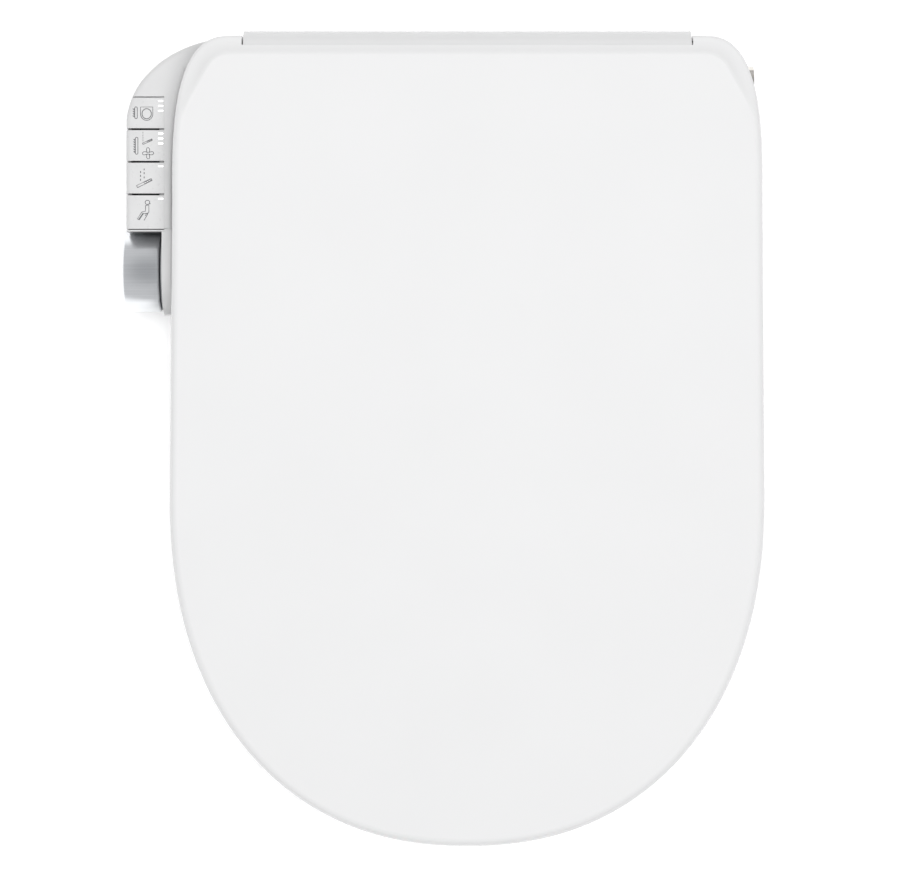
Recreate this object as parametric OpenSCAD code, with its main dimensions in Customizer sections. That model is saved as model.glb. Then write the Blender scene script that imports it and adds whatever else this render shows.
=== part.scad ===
// Electric bidet seat. Frame: +Y towards the cistern, -Y towards the front tip, +Z up.
// The origin lies midway between the two fixing slots, on the rim of the bowl.

/* [Lid] */
// Half width of the lid at its widest
lid_half_w = 188.6; // [160:0.1:226]
// Distance from the fixing line to the front tip of the lid
lid_front = 470.3; // [400:0.1:560]
// Length of the rounded nose of the lid
lid_nose = 221.1; // [180:0.1:240]
// How much narrower each side of the lid is at the rear shoulder
lid_taper = 2.6; // [0:0.1:8]
// Height of the lid's top over the hinge
lid_top = 100; // [95:0.5:110]
// Fall of the lid's top from the hinge to the front tip
lid_drop = 38; // [30:0.5:40]
// Height of the lid's lower rim
lid_rim = 48; // [47:0.5:52]
// Wall of the lid
lid_t = 2.8; // [2:0.1:3.5]

/* [Hinge] */
// Distance from the fixing line to the back of the hinge barrel
rear_depth = 47; // [44:0.5:60]
// Radius of the hinge barrel
barrel_r = 15.5; // [15:0.1:17]
// Gap between the barrel and the lid's rear lip
lip_gap = 0.7; // [0.4:0.1:1.2]
// Width of each rear shoulder of the lid, from its side to the barrel's end
shoulder_w = 45; // [43:0.5:50]
// Radius of the hinge shafts
shaft_r = 4.5; // [3:0.1:5]
// Radial running clearance of shafts
fit = 0.05; // [0.02:0.01:0.08]

/* [Seat] */
// Height of the seat's underside over the bowl
seat_low = 16; // [12:0.5:20]
// Height of the seat's top
seat_top = 44.5; // [40:0.5:46]
// How far the seat's edge lies inside the lid's edge
seat_inset = 5; // [3:0.5:10]
// Half width of the hole in the seat
hole_half_w = 107; // [95:0.5:115]
// Distance from the fixing line to the hole's rear edge
hole_rear = 112; // [105:0.5:125]
// Width of the seat at its front tip
seat_nose_w = 65; // [55:0.5:80]
// Wall of the seat's shells
seat_t = 2.6; // [2:0.1:3.5]

/* [Housing] */
// Distance from the fixing line to the housing's front face
body_front = 75; // [70:0.5:80]
// Wall of the housing
wall = 2.5; // [2:0.1:3]
// Gap between the housing and the seat's rear edge
seat_gap = 3; // [2:0.5:6]
// Thickness of the bottom plate
base_t = 2.5; // [2:0.1:4]
// Height of the rubber feet under the bottom plate
foot_h = 1.5; // [1:0.1:3]

/* [Fixing] */
// Distance between the two fixing slots, centre to centre
fix_spacing = 155; // [140:1:165]
// Width of a fixing slot
slot_w = 9; // [7:0.5:10]
// Length of a fixing slot, end to end
slot_len = 40; // [20:1:50]
// Thickness of the mounting plate
plate_t = 3; // [2:0.5:4]

/* [Control arm] */
// Distance from the object's middle line to the arm's outer face
arm_out = 217.5; // [217.5:0.5:260]
// Gap between the lid's side and the arm
arm_gap = 1; // [0.8:0.1:4]
// Height of the arm's top
arm_top = 60; // [56:0.5:61]
// Height of the arm's underside
arm_low = 4; // [2:0.5:10]
// Distance from the fixing line forward to the arm's front wall
arm_front = 76.4; // [74:0.1:90]
// Number of keys
key_count = 4; // [1:1:4]
// Distance from the fixing line back to the rear edge of the last key
key_rear = 7.8; // [0:0.1:10]
// Width of the slot between two keys
key_slot = 1.2; // [0.8:0.1:2]
// Thickness of a key
key_t = 2.2; // [1.6:0.1:3]

/* [Dial] */
// Diameter of the dial
dial_d = 52; // [40:0.1:52.8]
// Length of the dial along its axis
dial_len = 24.5; // [18:0.1:26]
// How far the dial stands proud of the arm's outer face
dial_proud = 2.3; // [0:0.1:4]

/* [Nozzles] */
// Downward slope of the nozzles
noz_angle = 28; // [25:1:32]
// Distance between the two nozzles
noz_pitch = 22; // [20:1:26]
// Radius of a nozzle wand
noz_r = 5.5; // [4:0.1:6]
// Length of a nozzle wand
noz_len = 116; // [112:1:118]
// Teeth of the drive pinion
pinion_teeth = 12; // [10:1:14]

/* [Hidden] */
$fn = 48;
eps = 0.01;
air = 0.3;

// Hinge axis
hinge_y = rear_depth - barrel_r;
hinge_z = lid_top - lid_t - lip_gap - barrel_r;
lip_r = barrel_r + lip_gap + lid_t;
lid_slope = lid_drop / (hinge_y + lid_front);

// Lid plan
lid_rear_half = lid_half_w - lid_taper;
nose_y = lid_nose - lid_front;
corner_w = 40;
corner_y = -60;
corner_l = hinge_y + 11.5 - corner_y;
lip_end = hinge_y + 5.7;
mid_half = lid_rear_half - shoulder_w;
end_gap = 0.8;
lid_ear_in = mid_half + end_gap;
lid_ear_t = 4.5;
seat_ear_in = lid_ear_in + lid_ear_t + 1;
seat_ear_t = 6;
shaft_end = seat_ear_in + seat_ear_t;
ear_r = shaft_r + 3;
post_spots = [for (sx = [-1, 1], p = [[0.66, -0.74], [0.8, -0.34]]) [sx * p[0] * lid_half_w, p[1] * lid_front]];
post_r = 5;

// Seat plan
seat_half = lid_half_w - seat_inset;
seat_rear = -body_front - seat_gap;
seat_corner = 22;
hole_front = lid_front - seat_inset - seat_nose_w;
hole_mid = -(hole_rear + hole_front) / 2;
seat_bumper_spots = [for (sx = [-1, 1], p = [[0.8, -0.3], [0.51, -0.905]])
    [sx * p[0] * seat_half, p[1] * lid_front]];

// Housing plan
arm_in = lid_rear_half + lid_taper * 0.38 + arm_gap;
side_half = lid_rear_half - lid_t - 1.4;
inlet_x = side_half - 16;
body_rear = hinge_y + 11;
leg_front = 24;
base_top = foot_h + base_t;
shoulder_low = 9;
shoulder_top = arm_top - 1.5;
front_top = 82;
plate_half_w = fix_spacing / 2 + slot_len / 2 + 8;
plate_half_l = 24;
button_y = -body_front + 22.5;
spring_x = 128;
spring_l = 9;
spring_wire = 0.35;
pocket_h = 9;
deo_y = -46;

// Arm
arm_corner_x = arm_out - 72.5;
arm_corner_y = -10;
arm_corner_l = body_rear + 3.5 - arm_corner_y;
arm_round = 4;
arm_split = 30;
key_hinge_x = -(arm_in + 5.2);
key_span = (key_rear + arm_front - 1) / key_count;
key_drop = 12;
lip_front = arm_front + 1.8;
led_w = 3.8;
led_l = 0.9;
led_deep = 0.8;
led_counts = [1, 1, 3, 3];

// Dial
dial_r = dial_d / 2;
dial_y = -arm_front - air - dial_r;
dial_z = arm_low + 2 + dial_r + 2;
dial_out = -(arm_out + dial_proud);
dial_in = dial_out + dial_len;
cheek_r = 28;
cheek_x = -(arm_in + 6.8);
dial_wall = 3;
hub_r = 3;
encoder_len = 10;

// Nozzles, in their own sloping frame: the tip is at y = 0 and the wand runs to +y
noz_tip = [-body_front + 3, 18.5];
pinion_y = 20;
pinion_pitch = pinion_teeth / 2;
rack_pitch_z = noz_r + 2;
pinion_z = rack_pitch_z + pinion_pitch + 0.15;
rack_w = 4;
rack_teeth = floor((noz_len - pinion_y - 2) / PI);
noz_open_half = noz_pitch / 2 + noz_r + 3;
cradle_half = noz_open_half + 1;
motor_r = 9;

// Water side
inlet_y = 20;
inlet_z = 29;
valve_x = inlet_x - 30;
flow_x = 62;
flow_z = inlet_z - 4;
flow_r = 11;
heater_lo = [40, -64, base_top + 2];
heater_hi = [98, -15, 44];
tube_r = 3;

// Dryer
blower = [-mid_half + 66, 2];
blower_r = 28;
blower_low = base_top + pocket_h + 1;
blower_h = 27;
duct_x0 = blower[0] - blower_r;
duct_w = 40;
duct_low = base_top + 0.6;
duct_out_h = 10;
flap_y = -body_front + 1.2;
flap_z = duct_low + duct_out_h - 1;

// ---------- shared shapes ----------

// A point of a superellipse with half axes a and b and exponent n
function se(a, b, n, t) = [a * sign(cos(t)) * pow(abs(cos(t)), 2 / n), b * sign(sin(t)) * pow(abs(sin(t)), 2 / n)];

// Height of the lid's flat top at y
function top_z(y) = lid_top + (y - hinge_y) * lid_slope;

// Height of the lid's lower rim at y: it climbs behind the housing's shoulders
function rim_z(y) = lid_rim + max(0, y + 5) * 0.5;

// Lid plan, moved inwards by d
function lid_plan(d) = concat(
    [for (t = [180:7.5:360]) [0, nose_y] + se(lid_half_w - d, lid_nose - d, 2.23, t)],
    [for (t = [0:15:90]) [lid_rear_half - corner_w, corner_y] + se(corner_w - d, corner_l - d, 2.9, t)],
    [for (t = [90:15:180]) [corner_w - lid_rear_half, corner_y] + se(corner_w - d, corner_l - d, 2.9, t)]);

// Seat plan, moved inwards by d
function seat_plan(d) = concat(
    [for (t = [180:7.5:360]) [0, nose_y] + se(seat_half - d, lid_nose - seat_inset - d, 2.23, t)],
    [for (t = [0:15:90]) [seat_half - 2 - seat_corner, seat_rear - seat_corner]
        + se(seat_corner - d, seat_corner - d, 2, t)],
    [for (t = [90:15:180]) [seat_corner + 2 - seat_half, seat_rear - seat_corner]
        + se(seat_corner - d, seat_corner - d, 2, t)]);

// Plan of the hole in the seat, moved outwards by d
function hole_plan(d) = concat(
    [for (t = [180:7.5:360]) [0, hole_mid] + se(hole_half_w + d, hole_front + hole_mid + d, 2.15, t)],
    [for (t = [0:15:90]) [0, hole_mid] + se(hole_half_w + d, -hole_mid - hole_rear + d, 2.5, t)],
    [for (t = [90:15:180]) [0, hole_mid] + se(hole_half_w + d, -hole_mid - hole_rear + d, 2.5, t)]);

// Closed solid through rings of equal point count; closed = true joins the last ring to the first
module loft(rings, closed = false) {
    n = len(rings[0]);
    m = len(rings);
    points = [for (r = rings, p = r) p];
    walls = [for (i = [0:closed ? m - 1 : m - 2], j = [0:n - 1])
        let (k = (j + 1) % n, a = i * n, b = ((i + 1) % m) * n)
            each [[a + j, b + j, a + k], [a + k, b + j, b + k]]];
    caps = closed ? [] : [[for (j = [0:n - 1]) j], [for (j = [n - 1:-1:0]) (m - 1) * n + j]];
    polyhedron(points, concat(walls, caps));
}

module slab(x0, x1, y0, y1, z0, z1) {
    translate([x0, y0, z0]) cube([x1 - x0, y1 - y0, z1 - z0]);
}

module rod_x(r, x0, x1, y, z) {
    translate([min(x0, x1), y, z]) rotate([0, 90, 0]) cylinder(r = r, h = abs(x1 - x0));
}

module rod_y(r, y0, y1, x, z) {
    translate([x, y1, z]) rotate([90, 0, 0]) cylinder(r = r, h = y1 - y0);
}

module rod_z(r, z0, z1, x, y) {
    translate([x, y, z0]) cylinder(r = r, h = z1 - z0);
}

// Draws a profile given in Y and Z and runs it from x0 to x1
module side_run(x0, x1) {
    translate([x0, 0, 0]) rotate([90, 0, 90]) linear_extrude(x1 - x0) children();
}

module slot_cut(x, y, z0, z1, w, l) {
    for (s = [-1, 1]) rod_z(w / 2, z0, z1, x + s * (l - w) / 2, y);
    slab(x - (l - w) / 2, x + (l - w) / 2, y - w / 2, y + w / 2, z0, z1);
}

// Pan-head screw with its head down
module screw(x, y, z, shank, head_r = 2.8, shank_r = 1.4) {
    rod_z(head_r, z, z + 1.4, x, y);
    rod_z(shank_r, z + 1.4 - eps, z + shank, x, y);
}

// ---------- rear housing ----------

screw_spots = [[-side_half + 14, -body_front + 14], [side_half - 14, -body_front + 14],
    [-mid_half + 10, body_rear - 10], [mid_half - 10, body_rear - 10], [-34, -body_front + 14],
    [34, -body_front + 14]];
plate_stop = [plate_half_w + air, plate_half_l + air];

// Outline of the housing from above, moved inwards by d
module housing_plan(d = 0) {
    offset(delta = -d) difference() {
        polygon([[-arm_in, -body_front], [side_half, -body_front], [side_half, 0], [inlet_x, 0],
            [inlet_x, body_rear], [-mid_half, body_rear], [-mid_half, leg_front], [-arm_in, leg_front]]);
        arm_plan();
    }
}

// Side profile of the raised middle with its hinge barrel, moved inwards by d
module middle_profile(d = 0) {
    polygon([[-body_front + d, base_top], [-body_front + d, front_top - 4 - d / 2],
        [-body_front + 3 + d * 0.8, front_top - d], [hinge_y - 8, hinge_z + barrel_r - 1.6 - d],
        [body_rear - d, hinge_z], [body_rear - d, base_top]]);
    translate([hinge_y, hinge_z]) circle(r = barrel_r - d, $fn = 64);
}

// Side profile of the low shoulders under the seat's hinge arms
module shoulder_profile(d = 0) {
    polygon([[-body_front + d, base_top], [-body_front + d, shoulder_low + 6 - d],
        [leg_front - 3 + d / 2, shoulder_top - d], [body_rear - d, shoulder_top - d], [body_rear - d, base_top]]);
}

module base_plate() {
    color("gainsboro") difference() {
        union() {
            translate([0, 0, foot_h]) linear_extrude(base_t) housing_plan();
            slab(-plate_half_w - 3, plate_half_w + 3, -plate_half_l - 3, plate_half_l + 3, foot_h, base_top);
            for (p = screw_spots) rod_z(4, base_top - eps, base_top + 3, p[0], p[1]);
            pocket(0);
            slab(spring_x - 2, spring_x, button_y - 4, button_y + 4, base_top - eps, base_top + 5);
        }
        slab(-plate_stop[0], plate_stop[0], -plate_stop[1], plate_stop[1], 0, plate_t + air);
        pocket(2);
        for (p = screw_spots) rod_z(1.4, 0, 20, p[0], p[1]);
        for (p = screw_spots) rod_z(3, 0, foot_h + 1.4, p[0], p[1]);
        for (x = [-1, 1]) rod_z(4, 0, foot_h + 0.5, x * (side_half - 30), -body_front + 8);
        for (x = [-1, 1]) rod_z(4, 0, foot_h + 0.5, x * (mid_half - 6), body_rear - 22);
    }
}

// Pocket over each fixing slot for the bolt's head; d is the wall taken off
module pocket(d) {
    for (s = [-1, 1])
        slab(s * fix_spacing / 2 - slot_len / 2 - 4 + d, s * fix_spacing / 2 + slot_len / 2 + 4 - d,
            -13 + d, 13 - d, d > 0 ? 0 : foot_h, base_top + pocket_h - d);
}

module upper_cover() {
    color("whitesmoke") difference() {
        union() {
            intersection() {
                translate([0, 0, base_top]) linear_extrude(lid_top) housing_plan();
                side_run(-arm_in, side_half) shoulder_profile();
            }
            side_run(-mid_half, mid_half) middle_profile();
        }
        difference() {
            intersection() {
                translate([0, 0, base_top - 1]) linear_extrude(lid_top) housing_plan(wall);
                side_run(-arm_in, side_half) {
                    shoulder_profile(wall);
                    translate([-body_front + wall, base_top - 1])
                        square([body_front + body_rear - 2 * wall, 2]);
                }
            }
            slab(-mid_half - 1, mid_half + 1, -100, 100, shoulder_low, lid_top);
        }
        side_run(-mid_half + wall, mid_half - wall) {
            middle_profile(wall);
            translate([-body_front + wall, base_top - 1])
                square([body_front + body_rear - 2 * wall, 2]);
        }
        // hinge shafts leave through the barrel's ends
        rod_x(shaft_r + air, -mid_half - 1, mid_half + 1, hinge_y, hinge_z);
        // nozzles, dryer outlet, sensor window and night light
        slab(-noz_open_half, noz_open_half, -body_front - 1, -body_front + wall + 1,
            base_top + 1, noz_tip[1] + 10);
        slab(duct_x0 - 0.6, duct_x0 + duct_w + 0.6, -body_front - 1, -body_front + wall + 1,
            base_top - 1, duct_low + duct_out_h + 0.6);
        rod_y(5, -body_front - 1, -body_front + wall + 1, 60, 52);
        slab(78, 98, -body_front - 1, -body_front + wall + 1, 48, 56);
        // water inlet, cable gland, screws and the release button
        rod_x(11, inlet_x - wall - 1, inlet_x + 1, inlet_y, inlet_z);
        rod_x(6, mid_half - wall - 1, mid_half + wall + 1, inlet_y, inlet_z);
        rod_y(6, body_rear - wall - 1, body_rear + 1, -100, 20);
        slab(side_half - wall - 1, side_half + 1, button_y - 4.4, button_y + 4.4,
            base_top - 1, base_top + 5.4);
        deodoriser_door(air);
    }
}

// Opening in the shoulder for the deodoriser's grille
module deodoriser_door(gap) {
    slab(side_half - wall - 1, side_half + 1, deo_y - gap, deo_y + 24 + gap, base_top + 7 - gap,
        base_top + 15 + gap);
}

module mounting_plate() {
    color("lightgray") difference() {
        union() {
            slab(-plate_half_w, plate_half_w, -plate_half_l, plate_half_l, 0, plate_t);
            for (s = [-1, 1]) slab(s * plate_half_w - 3, s * plate_half_w + 3, -6, 6, 0, foot_h - 0.2);
        }
        for (s = [-1, 1]) slot_cut(s * fix_spacing / 2, 0, -1, plate_t + 1, slot_w, slot_len);
        slab(-fix_spacing / 2 + slot_len / 2 + 8, fix_spacing / 2 - slot_len / 2 - 8, -10, 10, -1, plate_t + 1);
    }
}

module base_feet() {
    color("dimgray") {
        for (x = [-1, 1]) rod_z(4, 0, foot_h + 0.5, x * (side_half - 30), -body_front + 8);
        for (x = [-1, 1]) rod_z(4, 0, foot_h + 0.5, x * (mid_half - 6), body_rear - 22);
    }
}

module casing_screws() {
    color("silver") for (p = screw_spots) screw(p[0], p[1], foot_h, base_t + 2.5);
}

module release_button() {
    y = button_y;
    color("lightgray") {
        slab(spring_x + spring_l, side_half + 1, y - 4, y + 4, base_top + 0.4, base_top + 5);
        slab(side_half + 1 - eps, side_half + 1.8, y - 3, y + 3, base_top + 1, base_top + 4.4);
    }
}

// Return spring of the release button, its coils drawn as rings on a spine
module release_spring() {
    coils = 5;
    pitch = (spring_l - 2 * spring_wire) / (coils - 1);
    color("silver") {
        for (i = [0:coils - 1])
            translate([spring_x + spring_wire + i * pitch, button_y, base_top + 2.7])
                rotate([0, 90, 0]) rotate_extrude() translate([1.8, 0]) circle(r = spring_wire);
        rod_x(spring_wire, spring_x + spring_wire, spring_x + spring_l - spring_wire, button_y,
            base_top + 4.5);
    }
}

// ---------- control arm ----------

// Inner edge of the arm, which follows the lid's corner
arm_inside = [for (t = [180:-5:135]) [corner_w - lid_rear_half, corner_y]
    + se(corner_w + arm_in - lid_rear_half, corner_l + arm_in - lid_rear_half, 2.9, t)];

// Outline of the arm from above: it reaches round behind the lid's corner
module arm_plan(d = 0, front = arm_front) {
    offset(delta = -d) polygon(concat(
        [for (t = [90:5:180]) [-arm_corner_x, arm_corner_y] + se(arm_out - arm_corner_x, arm_corner_l, 2, t)],
        [[-arm_out, -front], [-arm_in, -front]], arm_inside,
        [[arm_inside[9][0], leg_front], [-mid_half, leg_front], [-mid_half, arm_corner_y + arm_corner_l]]));
}

// Rounded top edge made of stacked steps of the plan
module arm_block(z0, z1, front = arm_front) {
    steps = [[0, 0], [0.5, 1.9], [1.3, 3.1], [arm_round * 0.66, arm_round]];
    translate([0, 0, z0]) linear_extrude(z1 - z0 - arm_round) arm_plan(0, front);
    for (i = [1:3])
        translate([0, 0, z1 - arm_round + steps[i - 1][1] - eps])
            linear_extrude(steps[i][1] - steps[i - 1][1] + eps) arm_plan(steps[i][0], front + steps[i][0]);
}

module dial_cheek() {
    side_run(cheek_x, -arm_in) intersection() {
        union() {
            translate([dial_y, dial_z]) circle(r = cheek_r, $fn = 64);
            translate([dial_y, dial_z - cheek_r]) square(cheek_r * 2);
        }
        translate([dial_y - cheek_r, 0]) {
            square([1 - lip_front - dial_y + cheek_r, lid_top]);
            square([-arm_front - dial_y + cheek_r, arm_top - 14]);
        }
    }
}

module arm_upper_shell() {
    color("whitesmoke") difference() {
        union() {
            difference() {
                union() {
                    arm_block(arm_split, arm_top);
                    // lip over the dial's rear edge
                    arm_block(arm_top - 14, arm_top, lip_front);
                }
                translate([0, 0, arm_split - 1]) linear_extrude(arm_top - arm_split - 1.5)
                    arm_plan(wall);
                // keyway through the top and the outer side
                slab(-arm_out - 1, key_hinge_x, -lip_front + 1, key_rear, arm_top - key_drop, arm_top + 1);
            }
            // ledge that carries the keys
            slab(key_hinge_x - 3, -arm_in - 1, -arm_front + 1, key_rear, arm_top - 8, arm_top - key_t - 1.6);
            dial_cheek();
        }
        rod_x(hub_r + 1, cheek_x - 1, -arm_in + 1, dial_y, dial_z);
    }
}

module arm_lower_shell() {
    color("gainsboro") difference() {
        translate([0, 0, arm_low]) linear_extrude(arm_split - arm_low) arm_plan();
        translate([0, 0, arm_low + wall]) linear_extrude(arm_split) arm_plan(wall);
    }
}

// One rocking key with a rolled outer edge that follows the arm; i counts from the dial backwards
module key(i) {
    y0 = (i == 0 ? 1 - lip_front : -arm_front + 1 + i * key_span) + key_slot / 2;
    y1 = -arm_front + 1 + (i + 1) * key_span - key_slot / 2;
    color("whitesmoke") difference() {
        intersection() {
            arm_block(arm_top - key_drop, arm_top, lip_front);
            slab(-arm_out - 1, key_hinge_x - 0.2, y0, y1, arm_top - key_drop + 1.2, arm_top + 1);
        }
        for (y = [-4, 0]) translate([0, y, 0]) linear_extrude(arm_top - key_t) arm_plan(1.8);
        led_windows(i);
    }
}

// Slots for the lit windows in a row from the rear edge of key i
module led_windows(i) {
    n = led_counts[i];
    rear = -arm_front + 1 + (i + 1) * key_span;
    for (j = [0:n - 1])
        translate([key_hinge_x - led_w, rear - 2.8 - j * 3.15 - led_l / 2, arm_top - led_deep])
            cube([led_w - 0.6, led_l, led_deep + 1]);
}

module key_board() {
    z = arm_top - key_t - 8;
    color("darkgreen") {
        slab(-arm_out + 8, key_hinge_x - 4, -arm_front + 4, key_rear - 2, z, z + 1.6);
        for (i = [0:key_count - 1]) {
            y = -arm_front + 1 + (i + 0.5) * key_span;
            slab(-arm_out + 9, -arm_out + 15, y - 3, y + 3, z + 1.6 - eps, z + 4.4);
            rod_z(1.5, z + 4.4 - eps, arm_top - key_t - 0.6, -arm_out + 12, y);
        }
        slab(-arm_out + wall, -arm_out + 9, -arm_front + 6, -arm_front + 12, arm_split + 2, z);
        slab(-arm_out + wall, -arm_out + 9, -arm_front + 46, -arm_front + 52, arm_split + 2, z);
    }
}

module dial_ring() {
    color("silver") difference() {
        union() {
            rod_x(dial_r - 0.8, dial_out, dial_in - 1, dial_y, dial_z);
            rod_x(dial_r, dial_out + 1.4, dial_in - 1.8, dial_y, dial_z);
        }
        rod_x(dial_r - dial_wall, dial_out + 3, dial_in + 1, dial_y, dial_z);
        rod_x(dial_r - 5, dial_out - 1, dial_out + 4, dial_y, dial_z);
    }
}

module dial_cap() {
    color("gray") difference() {
        union() {
            rod_x(dial_r - 5, dial_out + 0.3, dial_out + 5, dial_y, dial_z);
            rod_x(dial_r - dial_wall - 0.1, dial_out + 3, dial_out + 5, dial_y, dial_z);
            rod_x(hub_r + 3, dial_out + 5 - eps, dial_out + 10, dial_y, dial_z);
        }
        rod_x(hub_r, dial_out + 4, dial_out + 11, dial_y, dial_z);
    }
}

module dial_shaft() {
    color("silver") rod_x(hub_r, dial_out + 4, dial_in - 1.5, dial_y, dial_z);
}

module dial_bezel() {
    color("dimgray") difference() {
        rod_x(dial_r - 1, dial_in - 0.4, cheek_x, dial_y, dial_z);
        rod_x(dial_r - 4, dial_in - 2, cheek_x + 1, dial_y, dial_z);
    }
}

module dial_encoder() {
    color("dimgray") difference() {
        rod_x(9, cheek_x - encoder_len, cheek_x, dial_y, dial_z);
        rod_x(hub_r + fit, cheek_x - encoder_len - 1, cheek_x + 1, dial_y, dial_z);
    }
}

// ---------- lid ----------

lid_edge = [[0, 9], [0.8, 5], [3, 2], [7, 0.5], [14, 0]];

function lid_ring(d, drop) = [for (p = lid_plan(d)) [p[0], p[1], top_z(p[1]) - drop]];

module lid_ears() {
    for (s = [-1, 1])
        side_run(s > 0 ? lid_ear_in : -lid_ear_in - lid_ear_t, s > 0 ? lid_ear_in + lid_ear_t : -lid_ear_in)
            polygon(concat([for (t = [180:15:360]) [hinge_y, hinge_z] + (ear_r + 1) * [cos(t), sin(t)]],
                [[hinge_y + ear_r, lid_top - 6], [hinge_y + ear_r - 3, top_z(hinge_y) - 2],
                    [hinge_y - ear_r - 1, top_z(hinge_y - ear_r) - 1.5]]));
}

module lid_shell() {
    color("white") difference() {
        union() {
            loft(concat(
                [for (i = [len(lid_edge) - 1:-1:0]) lid_ring(lid_edge[i][0] + lid_t,
                    lid_edge[i][1] + lid_t)],
                [[for (p = lid_plan(lid_t)) [p[0], p[1], rim_z(p[1])]],
                    [for (p = lid_plan(0)) [p[0], p[1], rim_z(p[1])]]],
                [for (e = lid_edge) lid_ring(e[0], e[1])]));
            lid_ears();
            for (p = post_spots)
                rod_z(post_r, seat_top + 4, top_z(p[1]) - lid_t + 0.6, p[0], p[1]);
        }
        // the barrel's place between the shoulders, and the rolled rear lip over it
        slab(-lid_ear_in, lid_ear_in, lip_end, rear_depth + 20, 0, lid_top + 20);
        rod_x(barrel_r + lip_gap, -lid_ear_in, lid_ear_in, hinge_y, hinge_z);
        difference() {
            slab(-lid_ear_in, lid_ear_in, hinge_y, rear_depth, hinge_z, lid_top + 9);
            rod_x(lip_r, -lid_ear_in - 1, lid_ear_in + 1, hinge_y, hinge_z);
        }
        // room behind the seat's ears as the lid swings back
        for (s = [-1, 1])
            slab(s > 0 ? lid_ear_in + lid_ear_t : -shaft_end - 1.5, s > 0 ? shaft_end + 1.5 : -lid_ear_in - lid_ear_t,
                hinge_y - 5, rear_depth, 0, hinge_z + 4);
        rod_x(shaft_r, lid_ear_in - 1, lid_ear_in + lid_ear_t + 1, hinge_y, hinge_z);
        rod_x(shaft_r + fit, -lid_ear_in + 1, -lid_ear_in - lid_ear_t - 1, hinge_y, hinge_z);
    }
}

module lid_bumpers() {
    color("lightgray") for (p = post_spots) difference() {
        rod_z(post_r + 1.5, seat_top + air, seat_top + 7, p[0], p[1]);
        rod_z(post_r, seat_top + 4, seat_top + 8, p[0], p[1]);
    }
}

// Keyed to the lid's ear; the seat's ear turns on its end
module lid_shaft() {
    color("silver") rod_x(shaft_r, mid_half - 40, shaft_end, hinge_y, hinge_z);
}

// Slow-closing damper round a hinge shaft, fixed inside the barrel
module damper(s) {
    difference() {
        rod_x(barrel_r - wall - 1, s * (mid_half - wall - 0.2), s * (mid_half - 48), hinge_y, hinge_z);
        rod_x(shaft_r + fit, s * (mid_half + 1), s * (mid_half - 42), hinge_y, hinge_z);
    }
}

module lid_damper() {
    color("dimgray") damper(1);
}

// ---------- seat ----------

function flat_ring(plan, z) = [for (p = plan) [p[0], p[1], z]];

// Trough in the seat's rear that clears the nozzles; d is the wall left round it
module nozzle_trough(d) {
    slab(-noz_open_half - 2 - d, noz_open_half + 2 + d, -hole_rear - 2 + d * 0.5, seat_rear + 1 - d * 0.5,
        seat_low - 1, 25.5 + d);
}

module seat_arms() {
    for (s = [-1, 1])
        side_run(s > 0 ? seat_ear_in : -shaft_end, s > 0 ? shaft_end : -seat_ear_in) hull() {
            translate([hinge_y, hinge_z]) circle(r = ear_r);
            translate([seat_rear - 18, seat_top - 15]) circle(r = 9);
        }
}

module seat_upper_shell() {
    low = seat_low + 4;
    color("white") difference() {
        union() {
            loft([flat_ring(seat_plan(0), low), flat_ring(seat_plan(0), seat_top - 9),
                flat_ring(seat_plan(2.6), seat_top - 3), flat_ring(seat_plan(9), seat_top),
                flat_ring(hole_plan(9), seat_top), flat_ring(hole_plan(2.6), seat_top - 3),
                flat_ring(hole_plan(0), seat_top - 9), flat_ring(hole_plan(0), low),
                flat_ring(hole_plan(seat_t), low), flat_ring(hole_plan(seat_t), seat_top - 9),
                flat_ring(hole_plan(10), seat_top - seat_t), flat_ring(seat_plan(10), seat_top - seat_t),
                flat_ring(seat_plan(seat_t), seat_top - 9), flat_ring(seat_plan(seat_t), low)], true);
            seat_arms();
        }
        nozzle_trough(2);
        rod_x(shaft_r, -shaft_end - 1, -seat_ear_in + 1, hinge_y, hinge_z);
        rod_x(shaft_r + fit, seat_ear_in - 1, shaft_end + 1, hinge_y, hinge_z);
    }
}

module seat_lower_shell() {
    color("white") difference() {
        union() {
            translate([0, 0, seat_low]) linear_extrude(4) difference() {
                polygon(seat_plan(0));
                polygon(hole_plan(0));
            }
            intersection() {
                nozzle_trough(2);
                slab(-99, 99, -hole_rear + 0.1, seat_rear - 0.1, seat_low, 40);
            }
            for (p = seat_screw_spots) rod_z(3.2, seat_low + 1, seat_low + 12, p[0], p[1]);
        }
        nozzle_trough(0);
        translate([0, 0, seat_low + 2.5]) linear_extrude(2) difference() {
            offset(delta = -4) difference() {
                polygon(seat_plan(0));
                polygon(hole_plan(0));
            }
            for (p = seat_screw_spots) translate(p) circle(r = 3.2);
            square([2 * noz_open_half + 9, 400], center = true);
        }
        for (p = seat_screw_spots) rod_z(1.4, seat_low - 1, seat_low + 13, p[0], p[1]);
        for (p = seat_screw_spots) rod_z(3, seat_low - 1, seat_low + 1.6, p[0], p[1]);
        for (p = seat_bumper_spots) rod_z(5, seat_low - 1, seat_low + 1.5, p[0], p[1]);
    }
}

// Screws stand midway between the seat's edge and its hole
seat_screw_spots = [for (i = [2, 6, 10, 14, 18, 22]) (seat_plan(0)[i] + hole_plan(0)[i]) / 2];

module seat_screws() {
    color("silver") for (p = seat_screw_spots) screw(p[0], p[1], seat_low + 0.2, 10);
}

module seat_heater() {
    gap = noz_open_half + 6;
    color("goldenrod") translate([0, 0, seat_top - seat_t - 0.8]) linear_extrude(0.8) difference() {
        polygon(seat_plan(14));
        polygon(hole_plan(14));
        translate([-gap, seat_rear - 40]) square([2 * gap, 60]);
    }
}

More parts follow.
